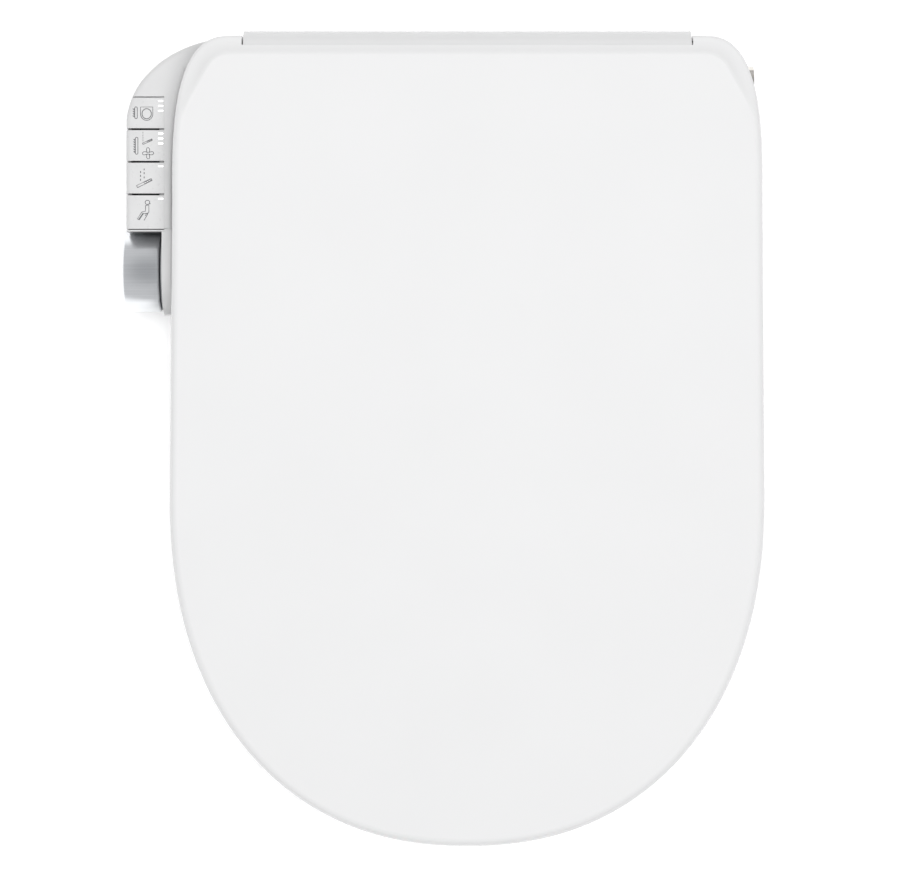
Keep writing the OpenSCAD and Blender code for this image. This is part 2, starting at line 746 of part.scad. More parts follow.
module seat_thermal_cutout() {
    color("black") slab(-seat_half + 28, -seat_half + 42, -220, -196, seat_top - seat_t - 5.8,
        seat_top - seat_t - 0.8);
}

module seat_bumpers() {
    color("dimgray") for (p = seat_bumper_spots) {
        rod_z(9, 0, seat_low, p[0], p[1]);
        rod_z(5, seat_low - eps, seat_low + 1.5, p[0], p[1]);
    }
}

// Keyed to the seat's ear; the lid's ear turns on it
module seat_shaft() {
    color("silver") rod_x(shaft_r, -mid_half + 40, -shaft_end, hinge_y, hinge_z);
}

module seat_damper() {
    color("dimgray") damper(-1);
}

// ---------- water side ----------

module water_inlet() {
    color("silver") difference() {
        union() {
            rod_x(10.3, inlet_x + 2.4, side_half + 3, inlet_y, inlet_z);
            rod_x(13, inlet_x, inlet_x + 2.4 + eps, inlet_y, inlet_z);
            rod_x(10.9, inlet_x - wall, inlet_x + eps, inlet_y, inlet_z);
            rod_x(13, inlet_x - wall - 2, inlet_x - wall, inlet_y, inlet_z);
            rod_x(5, valve_x, inlet_x - wall - 2 + eps, inlet_y, inlet_z);
        }
        rod_x(6.5, inlet_x - 2, side_half + 4, inlet_y, inlet_z);
        rod_x(tube_r, valve_x - 1, inlet_x, inlet_y, inlet_z);
    }
}

module inlet_filter() {
    color("steelblue") difference() {
        rod_x(6.5, inlet_x - 2, side_half - 4, inlet_y, inlet_z);
        rod_x(5, inlet_x - 3, side_half - 5.5, inlet_y, inlet_z);
        for (a = [0:45:315], x = [2, 7])
            translate([inlet_x + x, inlet_y, inlet_z]) rotate([a, 0, 0])
                translate([0, 0, 4]) cylinder(r = 1, h = 4);
    }
}

module valve_body() {
    color("whitesmoke") difference() {
        union() {
            slab(valve_x - 30, valve_x, inlet_y - 12, inlet_y + 12, inlet_z - 12, inlet_z + 8);
            rod_x(tube_r + 1, valve_x - 42, valve_x - 30 + eps, inlet_y, flow_z);
        }
        rod_x(tube_r, valve_x - 43, valve_x - 15, inlet_y, flow_z);
        rod_z(4.3, inlet_z - 6, inlet_z + 9, valve_x - 15, inlet_y);
        rod_x(tube_r, valve_x - 15, valve_x + 1, inlet_y, inlet_z);
    }
}

module valve_coil() {
    color("saddlebrown") difference() {
        rod_z(11, inlet_z + 8, inlet_z + 28, valve_x - 15, inlet_y);
        rod_z(4.3, inlet_z + 7, inlet_z + 24, valve_x - 15, inlet_y);
    }
}

module valve_plunger() {
    color("silver") rod_z(4, inlet_z - 5.5, inlet_z + 20, valve_x - 15, inlet_y);
}

module flow_sensor() {
    color("dimgray") difference() {
        union() {
            rod_y(flow_r, inlet_y - 9, inlet_y + 9, flow_x, flow_z);
            rod_x(tube_r + 1, flow_x - 14, flow_x + 16, inlet_y, flow_z);
        }
        rod_y(flow_r - 2, inlet_y - 6, inlet_y + 6, flow_x, flow_z);
        rod_x(tube_r, flow_x - 17, flow_x + 17, inlet_y, flow_z);
        rod_y(1.5 + fit, inlet_y - 8, inlet_y + 8, flow_x, flow_z);
    }
}

module flow_turbine() {
    color("royalblue") {
        rod_y(1.5, inlet_y - 7.5, inlet_y + 7.5, flow_x, flow_z);
        rod_y(3, inlet_y - 5, inlet_y + 5, flow_x, flow_z);
        for (a = [0:60:300]) translate([flow_x, inlet_y, flow_z]) rotate([0, a, 0])
            slab(2.8, flow_r - 3, -4.5, 4.5, -0.6, 0.6);
    }
}

module water_heater() {
    color("wheat") difference() {
        union() {
            slab(heater_lo[0], heater_hi[0], heater_lo[1], heater_hi[1], heater_lo[2], heater_hi[2]);
            for (x = [50, 88], y = [-56, -22]) rod_z(4, base_top, heater_lo[2] + eps, x, y);
            for (y = [-44, -32]) rod_z(tube_r, heater_hi[2] - eps, heater_hi[2] + 8, heater_lo[0] + 8, y);
        }
        rod_y(tube_r, heater_hi[1] - 12, heater_hi[1] + 1, heater_lo[0] + 4.5, flow_z);
        for (y = [-44, -32]) rod_z(2, heater_hi[2] - 12, heater_hi[2] + 9, heater_lo[0] + 8, y);
    }
}

// Rigid tubes: valve to flow sensor, and round a corner from the sensor to the heater
module water_tubes() {
    corner_x = heater_lo[0] + 4.5;
    color("lightskyblue") {
        difference() {
            rod_x(tube_r, flow_x + 11, valve_x - 33, inlet_y, flow_z);
            rod_x(tube_r - 1, flow_x + 10, valve_x - 32, inlet_y, flow_z);
        }
        difference() {
            union() {
                rod_x(tube_r, corner_x, flow_x - 11, inlet_y, flow_z);
                translate([corner_x, inlet_y, flow_z]) sphere(r = tube_r);
                rod_y(tube_r, heater_hi[1] - 8, inlet_y, corner_x, flow_z);
            }
            rod_x(tube_r - 1, corner_x, flow_x - 10, inlet_y, flow_z);
            rod_y(tube_r - 1, heater_hi[1] - 9, inlet_y, corner_x, flow_z);
        }
    }
}

// ---------- wash nozzles ----------

// Moves its children into the nozzles' sloping frame, at nozzle side s
module at_nozzle(s) {
    translate([s * noz_pitch / 2, noz_tip[0], noz_tip[1]]) rotate([noz_angle, 0, 0]) children();
}

// Involute point of a base circle of radius rb at roll angle a
function inv_pt(rb, a) = rb * [cos(a) + a * PI / 180 * sin(a), sin(a) - a * PI / 180 * cos(a)];

// Drive pinion of module 1, thinned for backlash
module pinion_2d() {
    rb = pinion_pitch * cos(20);
    tip = pinion_pitch + 0.9;
    roll = sqrt(pow(tip / rb, 2) - 1) * 180 / PI;
    half = 90 / pinion_teeth - 2.2 + (tan(20) * 180 / PI - 20);
    union() {
        circle(r = pinion_pitch - 1.15);
        for (i = [0:pinion_teeth - 1]) rotate(i * 360 / pinion_teeth) polygon(concat(
            [[1, -1]], [for (k = [0:4]) let (p = inv_pt(rb, roll * k / 4)) rot2(p, -half)],
            [for (k = [4:-1:0]) let (p = inv_pt(rb, roll * k / 4)) rot2([p[0], -p[1]], half)], [[1, 1]]));
    }
}

function rot2(p, a) = [p[0] * cos(a) - p[1] * sin(a), p[0] * sin(a) + p[1] * cos(a)];

// Wand with its rack on top, in its own frame
module wand() {
    difference() {
        union() {
            rod_y(noz_r, 16, noz_len, 0, 0);
            slab(-rack_w / 2, rack_w / 2, pinion_y - 3.4, noz_len - 1, 2, rack_pitch_z - 1.2);
            for (i = [0:rack_teeth - 1])
                translate([-rack_w / 2, pinion_y + (i + 0.5) * PI, rack_pitch_z - 1.25])
                    rotate([90, 0, 90]) linear_extrude(rack_w) polygon([[-1.15, 0], [1.15, 0],
                        [0.25, 2.15], [-0.25, 2.15]]);
        }
        rod_y(2.5, 15, noz_len - 4, 0, 0);
    }
}

// Rounded tip with its spray holes
module wand_tip(holes) {
    difference() {
        union() {
            rod_y(noz_r, 3, 16, 0, 0);
            rod_y(noz_r - 0.8, 0, 3 + eps, 0, 0);
            rod_y(2.5, 16 - eps, 21, 0, 0);
        }
        for (i = [0:holes - 1])
            rod_z(0.6, noz_r - 2, noz_r + 1, (i % 2 - 0.5) * 2, 5 + i * 1.6);
    }
}

module pinion_with_shaft(s) {
    at_nozzle(s) translate([0, pinion_y, pinion_z]) {
        rotate([90, 0, 90]) translate([0, 0, -rack_w / 2 + 0.3]) linear_extrude(rack_w - 0.6)
            rotate(-90) pinion_2d();
        rod_x(1.5, s * (rack_w / 2 - 0.3 - eps), s * (noz_pitch / 2 + 2), 0, 0);
    }
}

module nozzle_cradle() {
    ends = [[3, 13], [noz_len - 22, noz_len - 14]];
    color("gainsboro") difference() {
        union() {
            translate([0, noz_tip[0], noz_tip[1]]) rotate([noz_angle, 0, 0]) {
                for (e = ends) slab(-cradle_half, cradle_half, e[0], e[1], -noz_r - 2.5, noz_r - 1);
                slab(-cradle_half, cradle_half, ends[0][0], ends[1][1], -noz_r - 4.5, -noz_r - 1.2);
                for (s = [-1, 1]) slab(s * cradle_half - 1.2, s * cradle_half + 1.2, ends[0][0],
                    pinion_y + 12, -noz_r - 4.5, 4);
            }
            for (x = [-1, 1]) slab(x * cradle_half - 4, x * cradle_half + 4, 24, 32, base_top, 50);
        }
        for (s = [-1, 1]) at_nozzle(s) {
            rod_y(noz_r + fit, -9, noz_len + 9, 0, 0);
            slab(-rack_w / 2 - 0.6, rack_w / 2 + 0.6, -9, noz_len + 9, 0, 12);
        }
        slab(-60, 60, -100, -body_front + wall + 0.3, 0, 60);
        slab(-60, 60, -100, 60, 0, base_top);
    }
}

module nozzle_motors() {
    color("silver") for (s = [-1, 1]) at_nozzle(s) translate([0, pinion_y, pinion_z]) difference() {
        union() {
            rod_x(motor_r, s * (cradle_half - noz_pitch / 2 + 1.6), s * (cradle_half - noz_pitch / 2 + 15), 0, 0);
            rod_x(3, s * (noz_pitch / 2 - 1), s * (cradle_half - noz_pitch / 2 + 2), 0, 0);
            slab(s > 0 ? cradle_half - noz_pitch / 2 + 1.6 : -cradle_half + noz_pitch / 2 - 4,
                s > 0 ? cradle_half - noz_pitch / 2 + 4 : -cradle_half + noz_pitch / 2 - 1.6,
                -6, 6, -pinion_z - noz_r - 4.5, 0);
        }
        rod_x(1.5 + fit, s * (noz_pitch / 2 - 2), s * (noz_pitch / 2 + 6), 0, 0);
    }
}

// ---------- warm-air dryer ----------

module blower_housing() {
    color("dimgray") difference() {
        union() {
            rod_z(blower_r, blower_low, blower_low + blower_h, blower[0], blower[1]);
            for (x = [-1, 1]) rod_z(3, base_top, blower_low + eps, blower[0] + x * 20, blower[1] + 17);
            slab(duct_x0, blower[0], -20, blower[1], blower_low, blower_low + blower_h);
        }
        rod_z(blower_r - 2, blower_low + 2, blower_low + blower_h - 2, blower[0], blower[1]);
        slab(duct_x0 + 2, blower[0] - 2, -21, blower[1], blower_low + 2, blower_low + blower_h - 2);
        rod_z(17, blower_low + blower_h - 3, blower_low + blower_h + 1, blower[0], blower[1]);
    }
}

module blower_impeller() {
    z0 = blower_low + 4;
    color("black") translate([blower[0], blower[1], 0]) {
        rod_z(22, z0, z0 + 1.5, 0, 0);
        rod_z(6, z0 + 1.5 - eps, z0 + 14, 0, 0);
        rod_z(2, z0 + 14 - eps, z0 + 30, 0, 0);
        for (a = [0:22.5:337.5]) rotate(a) translate([15, 0, z0 + 1.5 - eps]) rotate(35)
            cube([6, 1, 16]);
    }
}

module blower_motor() {
    z = blower_low + blower_h;
    color("silver") difference() {
        union() {
            rod_z(13, z + 2, z + 22, blower[0], blower[1]);
            for (a = [0:120:240]) translate([blower[0], blower[1], 0]) rotate(a) {
                slab(10, 24, -3, 3, z + 2, z + 4);
                slab(19, 24, -3, 3, z, z + 4);
            }
        }
        rod_z(2 + fit, z, z + 12, blower[0], blower[1]);
    }
}

module air_duct() {
    x1 = duct_x0 + duct_w;
    z1 = blower_low + blower_h;
    outer = [[-20, blower_low], [-20, z1], [-body_front + 14, duct_low + duct_out_h + 2],
        [-body_front + wall, duct_low + duct_out_h + 1.6], [-body_front + wall, duct_low - 0.6],
        [-40, base_top]];
    color("lightgray") difference() {
        union() {
            side_run(duct_x0, blower[0]) polygon(outer);
            side_run(blower[0] - eps, x1) polygon([for (p = outer) [min(p[0], -24), p[1]]]);
        }
        side_run(duct_x0 + 1.6, x1 - 1.6) polygon([[-25.6, blower_low + 2], [-25.6, z1 - 6],
            [-body_front + 14, duct_low + duct_out_h + 0.4], [-body_front - 1, duct_low + duct_out_h],
            [-body_front - 1, duct_low + 0.8], [-44, base_top + 1.6]]);
        slab(duct_x0 + 2, blower[0] - 2, -30, -19, blower_low + 2, blower_low + blower_h - 4);
        rod_z(blower_r, 0, lid_top, blower[0], blower[1]);
    }
}

module dryer_heater() {
    z = blower_low;
    color("peru") {
        for (x = [duct_x0 + 8, duct_x0 + duct_w - 9.5]) slab(x, x + 1.5, -49, -38, base_top + 5.5, z + 7);
        for (i = [0:3]) rod_x(0.7, duct_x0 + 1.6, duct_x0 + duct_w - 1.6, -47 + i * 2.4, z + (i % 2) * 4);
    }
}

module dryer_flap() {
    color("whitesmoke") {
        rod_x(1, duct_x0 + 0.3, duct_x0 + duct_w - 0.3, flap_y, flap_z);
        slab(duct_x0 + 2, duct_x0 + duct_w - 2, flap_y - 1, flap_y, duct_low + 0.5, flap_z);
    }
}

// ---------- electrics ----------

module main_board() {
    z = 62;
    color("darkgreen") {
        slab(40, 132, -64, 4, z, z + 1.6);
        for (p = [[104, -62], [104, -2], [49, -2]]) slab(p[0], p[0] + 4, p[1], p[1] + 4, base_top, z + eps);
        slab(60, 64, -62, -58, heater_hi[2], z + eps);
        for (i = [0:3]) rod_z(4.5, z + 1.6 - eps, z + 10, 48 + i * 14, -52);
        for (i = [0:2]) slab(44 + i * 24, 60 + i * 24, -34, -22, z + 1.6 - eps, z + 9);
        slab(96, 124, -14, -2, z + 1.6 - eps, z + 6);
        slab(100, 112, -58, -44, z + 1.6 - eps, z + 3.6);
    }
}

module power_supply() {
    x0 = -mid_half + wall + 2;
    color("darkslategray") {
        slab(x0, x0 + 30, -66, -36, base_top, base_top + 4);
        slab(x0 + 2, x0 + 28, -64, -38, base_top + 4 - eps, base_top + 30);
        slab(x0 + 8, x0 + 22, -65.5, -36.5, base_top + 8, base_top + 26);
    }
}

module cable_gland() {
    color("black") difference() {
        union() {
            rod_y(6, body_rear - wall - 4, body_rear + 1, -100, 20);
            rod_y(8.5, body_rear, body_rear + 2.5, -100, 20);
            rod_y(8.5, body_rear - wall - 5, body_rear - wall, -100, 20);
        }
        rod_y(3.6, body_rear - wall - 6, body_rear + 4, -100, 20);
    }
}

module sensor_window() {
    color("black") slab(78, 98, -body_front + 0.3, -body_front + wall + 1.5, 48, 56);
}

module night_light() {
    color("lightcyan") union() {
        rod_y(5, -body_front + 0.2, -body_front + wall, 60, 52);
        rod_y(7, -body_front + wall, -body_front + wall + 2, 60, 52);
    }
}

module deodoriser() {
    x1 = side_half;
    color("lightgray") difference() {
        union() {
            slab(x1 - wall - 26, x1 - wall, deo_y, deo_y + 24, base_top, base_top + 15);
            deodoriser_door(-0.2);
        }
        for (i = [0:5]) slab(x1 - wall - 3, x1 + 2, deo_y + 1.3 + i * 4, deo_y + 2.7 + i * 4,
            base_top + 8, base_top + 14);
    }
}

base_plate();
upper_cover();
mounting_plate();
base_feet();
casing_screws();
release_button();
release_spring();
arm_upper_shell();
arm_lower_shell();
key(0);  // key_1
key(1);  // key_2
key(2);  // key_3
key(3);  // key_4
key_board();
dial_ring();
dial_cap();
dial_shaft();
dial_bezel();
dial_encoder();
lid_shell();
lid_bumpers();
lid_shaft();
lid_damper();
seat_upper_shell();
seat_lower_shell();
seat_heater();
seat_thermal_cutout();
seat_bumpers();
seat_screws();
seat_shaft();
seat_damper();
water_inlet();
inlet_filter();
valve_body();
valve_coil();
valve_plunger();
flow_sensor();
flow_turbine();
water_heater();
water_tubes();
nozzle_cradle();
color("silver") at_nozzle(-1) wand();  // rear_wand
color("white") at_nozzle(-1) wand_tip(5);  // rear_tip
color("silver") at_nozzle(1) wand();  // front_wand
color("white") at_nozzle(1) wand_tip(3);  // front_tip
color("white") pinion_with_shaft(-1);  // rear_pinion
color("white") pinion_with_shaft(1);  // front_pinion
nozzle_motors();
blower_housing();
blower_impeller();
blower_motor();
air_duct();
dryer_heater();
dryer_flap();
main_board();
power_supply();
cable_gland();
sensor_window();
night_light();
deodoriser();
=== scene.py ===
from math import atan2, cos, pi, radians, sin, sqrt

import bmesh
import bpy
from mathutils import Matrix, Vector


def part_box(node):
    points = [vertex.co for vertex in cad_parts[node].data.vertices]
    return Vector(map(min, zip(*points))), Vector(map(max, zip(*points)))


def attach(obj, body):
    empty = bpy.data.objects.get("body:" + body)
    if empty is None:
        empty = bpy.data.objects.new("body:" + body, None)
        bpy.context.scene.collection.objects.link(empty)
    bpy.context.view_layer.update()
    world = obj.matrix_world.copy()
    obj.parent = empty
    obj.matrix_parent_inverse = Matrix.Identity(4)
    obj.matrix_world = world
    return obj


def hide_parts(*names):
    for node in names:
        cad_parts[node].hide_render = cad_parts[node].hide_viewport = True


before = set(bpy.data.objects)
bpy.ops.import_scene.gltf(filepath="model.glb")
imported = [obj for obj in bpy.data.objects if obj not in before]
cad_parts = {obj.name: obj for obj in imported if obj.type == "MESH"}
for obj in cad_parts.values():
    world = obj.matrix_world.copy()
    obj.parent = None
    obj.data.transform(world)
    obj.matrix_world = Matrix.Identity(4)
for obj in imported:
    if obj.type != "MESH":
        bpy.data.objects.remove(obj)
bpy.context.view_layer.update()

MM = 0.001

# ---------------------------------------------------------------- studio
# A white sweep on the ground under the seat, which glows faintly, and a white room round it.
# The room is dimmer straight overhead, so that metal has a dark band to reflect, and dimmer for
# matt surfaces than for glossy ones. One broad overhead panel lifts the surfaces that face up.
def tone(code):
    channels = [int(code[i:i + 2], 16) / 255 for i in (0, 2, 4)]
    return tuple(c / 12.92 if c <= 0.04045 else ((c + 0.055) / 1.055) ** 2.4 for c in channels) + (1,)


def add(tree, kind, links={}, **settings):
    node = tree.nodes.new(kind)
    for name, value in settings.items():
        socket = node.inputs.get(name.replace("_", " "))
        if socket is not None:
            socket.default_value = value
        else:
            setattr(node, name, value)
    for name, source in links.items():
        tree.links.new(source, node.inputs[name])
    return node


def stops(ramp_node, *marks):
    ramp = ramp_node.color_ramp
    while len(ramp.elements) > 1:
        ramp.elements.remove(ramp.elements[-1])
    ramp.elements[0].position, ramp.elements[0].color = marks[0]
    for place, colour in marks[1:]:
        ramp.elements.new(place).color = colour


def start_finish(name):
    material = bpy.data.materials.new(name)
    material.use_nodes = True
    tree = material.node_tree
    tree.nodes.clear()
    shader = add(tree, "ShaderNodeBsdfPrincipled")
    add(tree, "ShaderNodeOutputMaterial", {"Surface": shader.outputs["BSDF"]})
    place = add(tree, "ShaderNodeTexCoord").outputs["Object"]
    return material, tree, shader, place


def shade_smooth(mesh, angle=32):
    mesh.polygons.foreach_set("use_smooth", [True] * len(mesh.polygons))
    mesh.set_sharp_from_angle(angle=radians(angle))


def make_piece(name, bm, material, body, smooth=32):
    bmesh.ops.remove_doubles(bm, verts=bm.verts, dist=1e-6)
    bmesh.ops.recalc_face_normals(bm, faces=bm.faces)
    mesh = bpy.data.meshes.new(name)
    bm.to_mesh(mesh)
    bm.free()
    mesh.materials.append(material)
    shade_smooth(mesh, smooth)
    piece = bpy.data.objects.new(name, mesh)
    bpy.context.collection.objects.link(piece)
    if body:
        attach(piece, body)
    return piece


camera = bpy.data.objects.new("camera", bpy.data.cameras.new("camera"))
bpy.context.collection.objects.link(camera)
camera.location = (-0.0109, -0.216, 2.4)
camera.data.sensor_width = 36
camera.data.lens = 146.8
camera.data.clip_end = 50
bpy.context.scene.camera = camera
bpy.context.scene.view_settings.view_transform = "Standard"

sweep_paint, tree, shader, place = start_finish("matt_white_sweep")
grain = add(tree, "ShaderNodeTexNoise", {"Vector": place}, Scale=3, Detail=2)
shade = add(tree, "ShaderNodeValToRGB", {"Fac": grain.outputs["Fac"]})
stops(shade, (0.0, tone("F9F9F9")), (1.0, tone("FBFBFB")))
tree.links.new(shade.outputs["Color"], shader.inputs["Base Color"])
shader.inputs["Roughness"].default_value = 1.0
shader.inputs["Specular IOR Level"].default_value = 0.0
shader.inputs["Emission Color"].default_value = (1, 1, 1, 1)
shader.inputs["Emission Strength"].default_value = 0.2
bm = bmesh.new()
bmesh.ops.create_grid(bm, x_segments=2, y_segments=2, size=4)
sweep = make_piece("sweep", bm, sweep_paint, None)

world = bpy.data.worlds.new("white_room")
bpy.context.scene.world = world
world.use_nodes = True
tree = world.node_tree
tree.nodes.clear()
way = add(tree, "ShaderNodeTexCoord").outputs["Generated"]
height = add(tree, "ShaderNodeSeparateXYZ", {"Vector": way}).outputs["Z"]
sky = add(tree, "ShaderNodeValToRGB", {"Fac": height})
stops(sky, (0.0, (0.58, 0.58, 0.59, 1)), (0.25, (0.66, 0.66, 0.67, 1)),
      (0.58, (0.70, 0.70, 0.71, 1)), (0.80, (0.56, 0.565, 0.575, 1)),
      (0.92, (0.45, 0.455, 0.465, 1)), (1.0, (0.41, 0.415, 0.43, 1)))
ray = add(tree, "ShaderNodeLightPath").outputs["Is Diffuse Ray"]
dimmer = add(tree, "ShaderNodeMapRange", {"Value": ray}, To_Min=1.0, To_Max=0.6)
room = add(tree, "ShaderNodeBackground", {"Color": sky.outputs["Color"],
                                          "Strength": dimmer.outputs["Result"]})
add(tree, "ShaderNodeOutputWorld", {"Surface": room.outputs["Background"]})


def panel(name, place, target, size, power, lights_matt, shows_in_gloss):
    light = bpy.data.lights.new(name, "AREA")
    light.shape = "RECTANGLE"
    light.size, light.size_y = size
    light.energy = power
    lamp = bpy.data.objects.new(name, light)
    bpy.context.collection.objects.link(lamp)
    lamp.location = place
    lamp.rotation_euler = (Vector(target) - Vector(place)).to_track_quat("-Z", "Y").to_euler()
    lamp.visible_diffuse = lights_matt
    lamp.visible_glossy = shows_in_gloss
    lamp.visible_camera = False


panel("overhead_panel", (0.1, -0.1, 3.2), (0, -0.2, 0), (2.4, 2.4), 108, True, False)

# ---------------------------------------------------------------- moulded plastics of the casing
# The casing, arm, lid and seat are injection-moulded ABS and polypropylene. The polished
# tools leave a gloss with a faint orange peel; the base and inner parts come from spark-eroded
# tools, which leave a fine matt grain.
def moulded(name, colour, rough, grain_mm, depth_mm, shift=0.012):
    material, tree, shader, place = start_finish(name)
    broad = add(tree, "ShaderNodeTexNoise", {"Vector": place}, Scale=14, Detail=2)
    tint = add(tree, "ShaderNodeValToRGB", {"Fac": broad.outputs["Fac"]})
    base = tone(colour)
    stops(tint, (0.3, tuple(c * (1 - shift) for c in base[:3]) + (1,)), (0.7, base))
    tree.links.new(tint.outputs["Color"], shader.inputs["Base Color"])
    fine = add(tree, "ShaderNodeTexNoise", {"Vector": place}, Scale=1 / (grain_mm * MM), Detail=3)
    gloss = add(tree, "ShaderNodeMapRange", {"Value": fine.outputs["Fac"]}, To_Min=rough * 0.85,
                To_Max=rough * 1.2)
    tree.links.new(gloss.outputs["Result"], shader.inputs["Roughness"])
    bump = add(tree, "ShaderNodeBump", {"Height": fine.outputs["Fac"]}, Strength=0.5,
               Distance=depth_mm * MM)
    tree.links.new(bump.outputs["Normal"], shader.inputs["Normal"])
    shader.inputs["IOR"].default_value = 1.5
    return material


def finish(node, material):
    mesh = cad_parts[node].data
    mesh.materials.clear()
    mesh.materials.append(material)


lid_gloss = moulded("gloss_moulded_abs_lid", "D8D8D8", 0.16, 4, 0.004)
seat_gloss = moulded("gloss_moulded_pp_seat", "D9D9D8", 0.2, 4, 0.004)
casing_gloss = moulded("gloss_moulded_abs_casing", "D2D2D2", 0.22, 3, 0.005)
arm_satin = moulded("satin_moulded_abs_arm", "CCCCCC", 0.3, 2.5, 0.006)
key_satin = moulded("satin_moulded_abs_key", "CDCDCD", 0.28, 2.5, 0.006)
base_matt = moulded("matt_moulded_pp_base", "BDBDBC", 0.5, 0.8, 0.02)
inner_white = moulded("moulded_pom_natural", "DAD9D2", 0.42, 1.2, 0.012)
dark_moulded = moulded("moulded_nylon_black", "232426", 0.45, 0.9, 0.015, 0.12)
blue_moulded = moulded("moulded_pp_blue", "3A6FB0", 0.4, 1.0, 0.01, 0.08)


# ---------------------------------------------------------------- base plate, mounting plate and feet
# The lower casing is a matt polypropylene tray. It clips onto a mounting plate that stays
# bolted to the bowl, and soft rubber feet stop it from sliding.
def rounded_copy(node, piece_name, material, width_mm, body="root"):
    bm = bmesh.new()
    bm.from_mesh(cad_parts[node].data)
    bmesh.ops.remove_doubles(bm, verts=bm.verts, dist=2e-6)
    bmesh.ops.dissolve_limit(bm, angle_limit=radians(1.5), verts=bm.verts, edges=bm.edges)
    mesh = bpy.data.meshes.new(piece_name)
    bm.to_mesh(mesh)
    bm.free()
    mesh.materials.clear()
    mesh.materials.append(material)
    shade_smooth(mesh)
    piece = bpy.data.objects.new(piece_name, mesh)
    bpy.context.collection.objects.link(piece)
    bevel = piece.modifiers.new("edge_round", "BEVEL")
    bevel.width = width_mm * MM
    bevel.segments = 2
    bevel.limit_method = "ANGLE"
    bevel.angle_limit = radians(40)
    bevel.harden_normals = True
    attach(piece, body)
    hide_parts(node)
    return piece


rubber, tree, shader, place = start_finish("moulded_rubber_grey")
pores = add(tree, "ShaderNodeTexNoise", {"Vector": place}, Scale=1600, Detail=2)
shade = add(tree, "ShaderNodeValToRGB", {"Fac": pores.outputs["Fac"]})
stops(shade, (0.3, tone("A3A4A6")), (0.75, tone("B2B3B5")))
tree.links.new(shade.outputs["Color"], shader.inputs["Base Color"])
bump = add(tree, "ShaderNodeBump", {"Height": pores.outputs["Fac"]}, Strength=0.4, Distance=0.00004)
tree.links.new(bump.outputs["Normal"], shader.inputs["Normal"])
shader.inputs["Roughness"].default_value = 0.75

finish("base_plate", base_matt)
finish("mounting_plate", base_matt)
finish("deodoriser", inner_white)
finish("release_button", base_matt)
for node, body in (("base_feet", "root"), ("seat_bumpers", "seat"), ("lid_bumpers", "lid")):
    rounded_copy(node, node + "_rubber", rubber, 0.6, body)

# ---------------------------------------------------------------- fixings and shafts
# Screws, hinge shafts, the button's spring and motor cans are plain drawn steel with
# drawing lines along the bar and a low sheen.
steel, tree, shader, place = start_finish("drawn_steel")
along = add(tree, "ShaderNodeMapping", {"Vector": place}, Scale=(40, 2600, 2600))
lines = add(tree, "ShaderNodeTexNoise", {"Vector": along.outputs["Vector"]}, Scale=1, Detail=3)
gloss = add(tree, "ShaderNodeMapRange", {"Value": lines.outputs["Fac"]}, To_Min=0.22, To_Max=0.42)
tree.links.new(gloss.outputs["Result"], shader.inputs["Roughness"])
shade = add(tree, "ShaderNodeValToRGB", {"Fac": lines.outputs["Fac"]})
stops(shade, (0.2, tone("B4B6B9")), (0.8, tone("C8CACD")))
tree.links.new(shade.outputs["Color"], shader.inputs["Base Color"])
shader.inputs["Metallic"].default_value = 1.0
for node in ("casing_screws", "release_spring", "dial_shaft", "lid_shaft", "seat_screws", "seat_shaft",
             "valve_plunger", "nozzle_motors", "blower_motor"):
    finish(node, steel)

# ---------------------------------------------------------------- upper cover and hinge barrel
# One gloss ABS moulding covers the works. Its barrel fills the room between the lid's
# shoulders and carries both hinge shafts and their dampers.
rounded_copy("upper_cover", "rear_casing", casing_gloss, 0.35)
finish("lid_damper", dark_moulded)
finish("seat_damper", dark_moulded)

window_black, tree, shader, place = start_finish("smoked_acrylic_window")
smoke = add(tree, "ShaderNodeTexNoise", {"Vector": place}, Scale=400, Detail=2)
shade = add(tree, "ShaderNodeValToRGB", {"Fac": smoke.outputs["Fac"]})
stops(shade, (0.3, tone("1A1516")), (0.8, tone("241C1E")))
tree.links.new(shade.outputs["Color"], shader.inputs["Base Color"])
shader.inputs["Roughness"].default_value = 0.06
shader.inputs["IOR"].default_value = 1.49
finish("sensor_window", window_black)

lens_frost, tree, shader, place = start_finish("frosted_acrylic_lens")
frost = add(tree, "ShaderNodeTexNoise", {"Vector": place}, Scale=1500, Detail=2)
gloss = add(tree, "ShaderNodeMapRange", {"Value": frost.outputs["Fac"]}, To_Min=0.3, To_Max=0.55)
tree.links.new(gloss.outputs["Result"], shader.inputs["Roughness"])
shader.inputs["Base Color"].default_value = tone("EEF3F8")
shader.inputs["Transmission Weight"].default_value = 0.55
shader.inputs["IOR"].default_value = 1.49
finish("night_light", lens_frost)


# ---------------------------------------------------------------- control arm
# A satin ABS shell in two halves that wraps forward round the lid's corner. The upper half
# has a rolled top edge, a long opening for the keys and a thin lip at its front that stands over
# the dial's rear; a flat cheek under the lip carries the dial.
def bend(cx, cy, half_x, half_y, fullness, degrees):
    c, s = cos(radians(degrees)), sin(radians(degrees))
    r = (abs(c) ** fullness + abs(s) ** fullness) ** (1 / fullness)
    return Vector((cx + half_x * c / r, cy + half_y * s / r, 0))


def sheet_of(bm, points, z):
    corners = [bm.verts.new((p[0] * MM, p[1] * MM, z * MM)) for p in points]
    return bm.faces.new(corners)


def push(bm, faces, offset):
    made = bmesh.ops.extrude_face_region(bm, geom=faces)["geom"]
    bmesh.ops.translate(bm, verts=[g for g in made if isinstance(g, bmesh.types.BMVert)],
                        vec=Vector(offset) * MM)
    return [g for g in made if isinstance(g, bmesh.types.BMFace)]


def along_x(bm, x):
    turn = Matrix(((0, 0, 1, x * MM), (1, 0, 0, 0), (0, 1, 0, 0), (0, 0, 0, 1)))
    bmesh.ops.transform(bm, matrix=turn, verts=bm.verts)


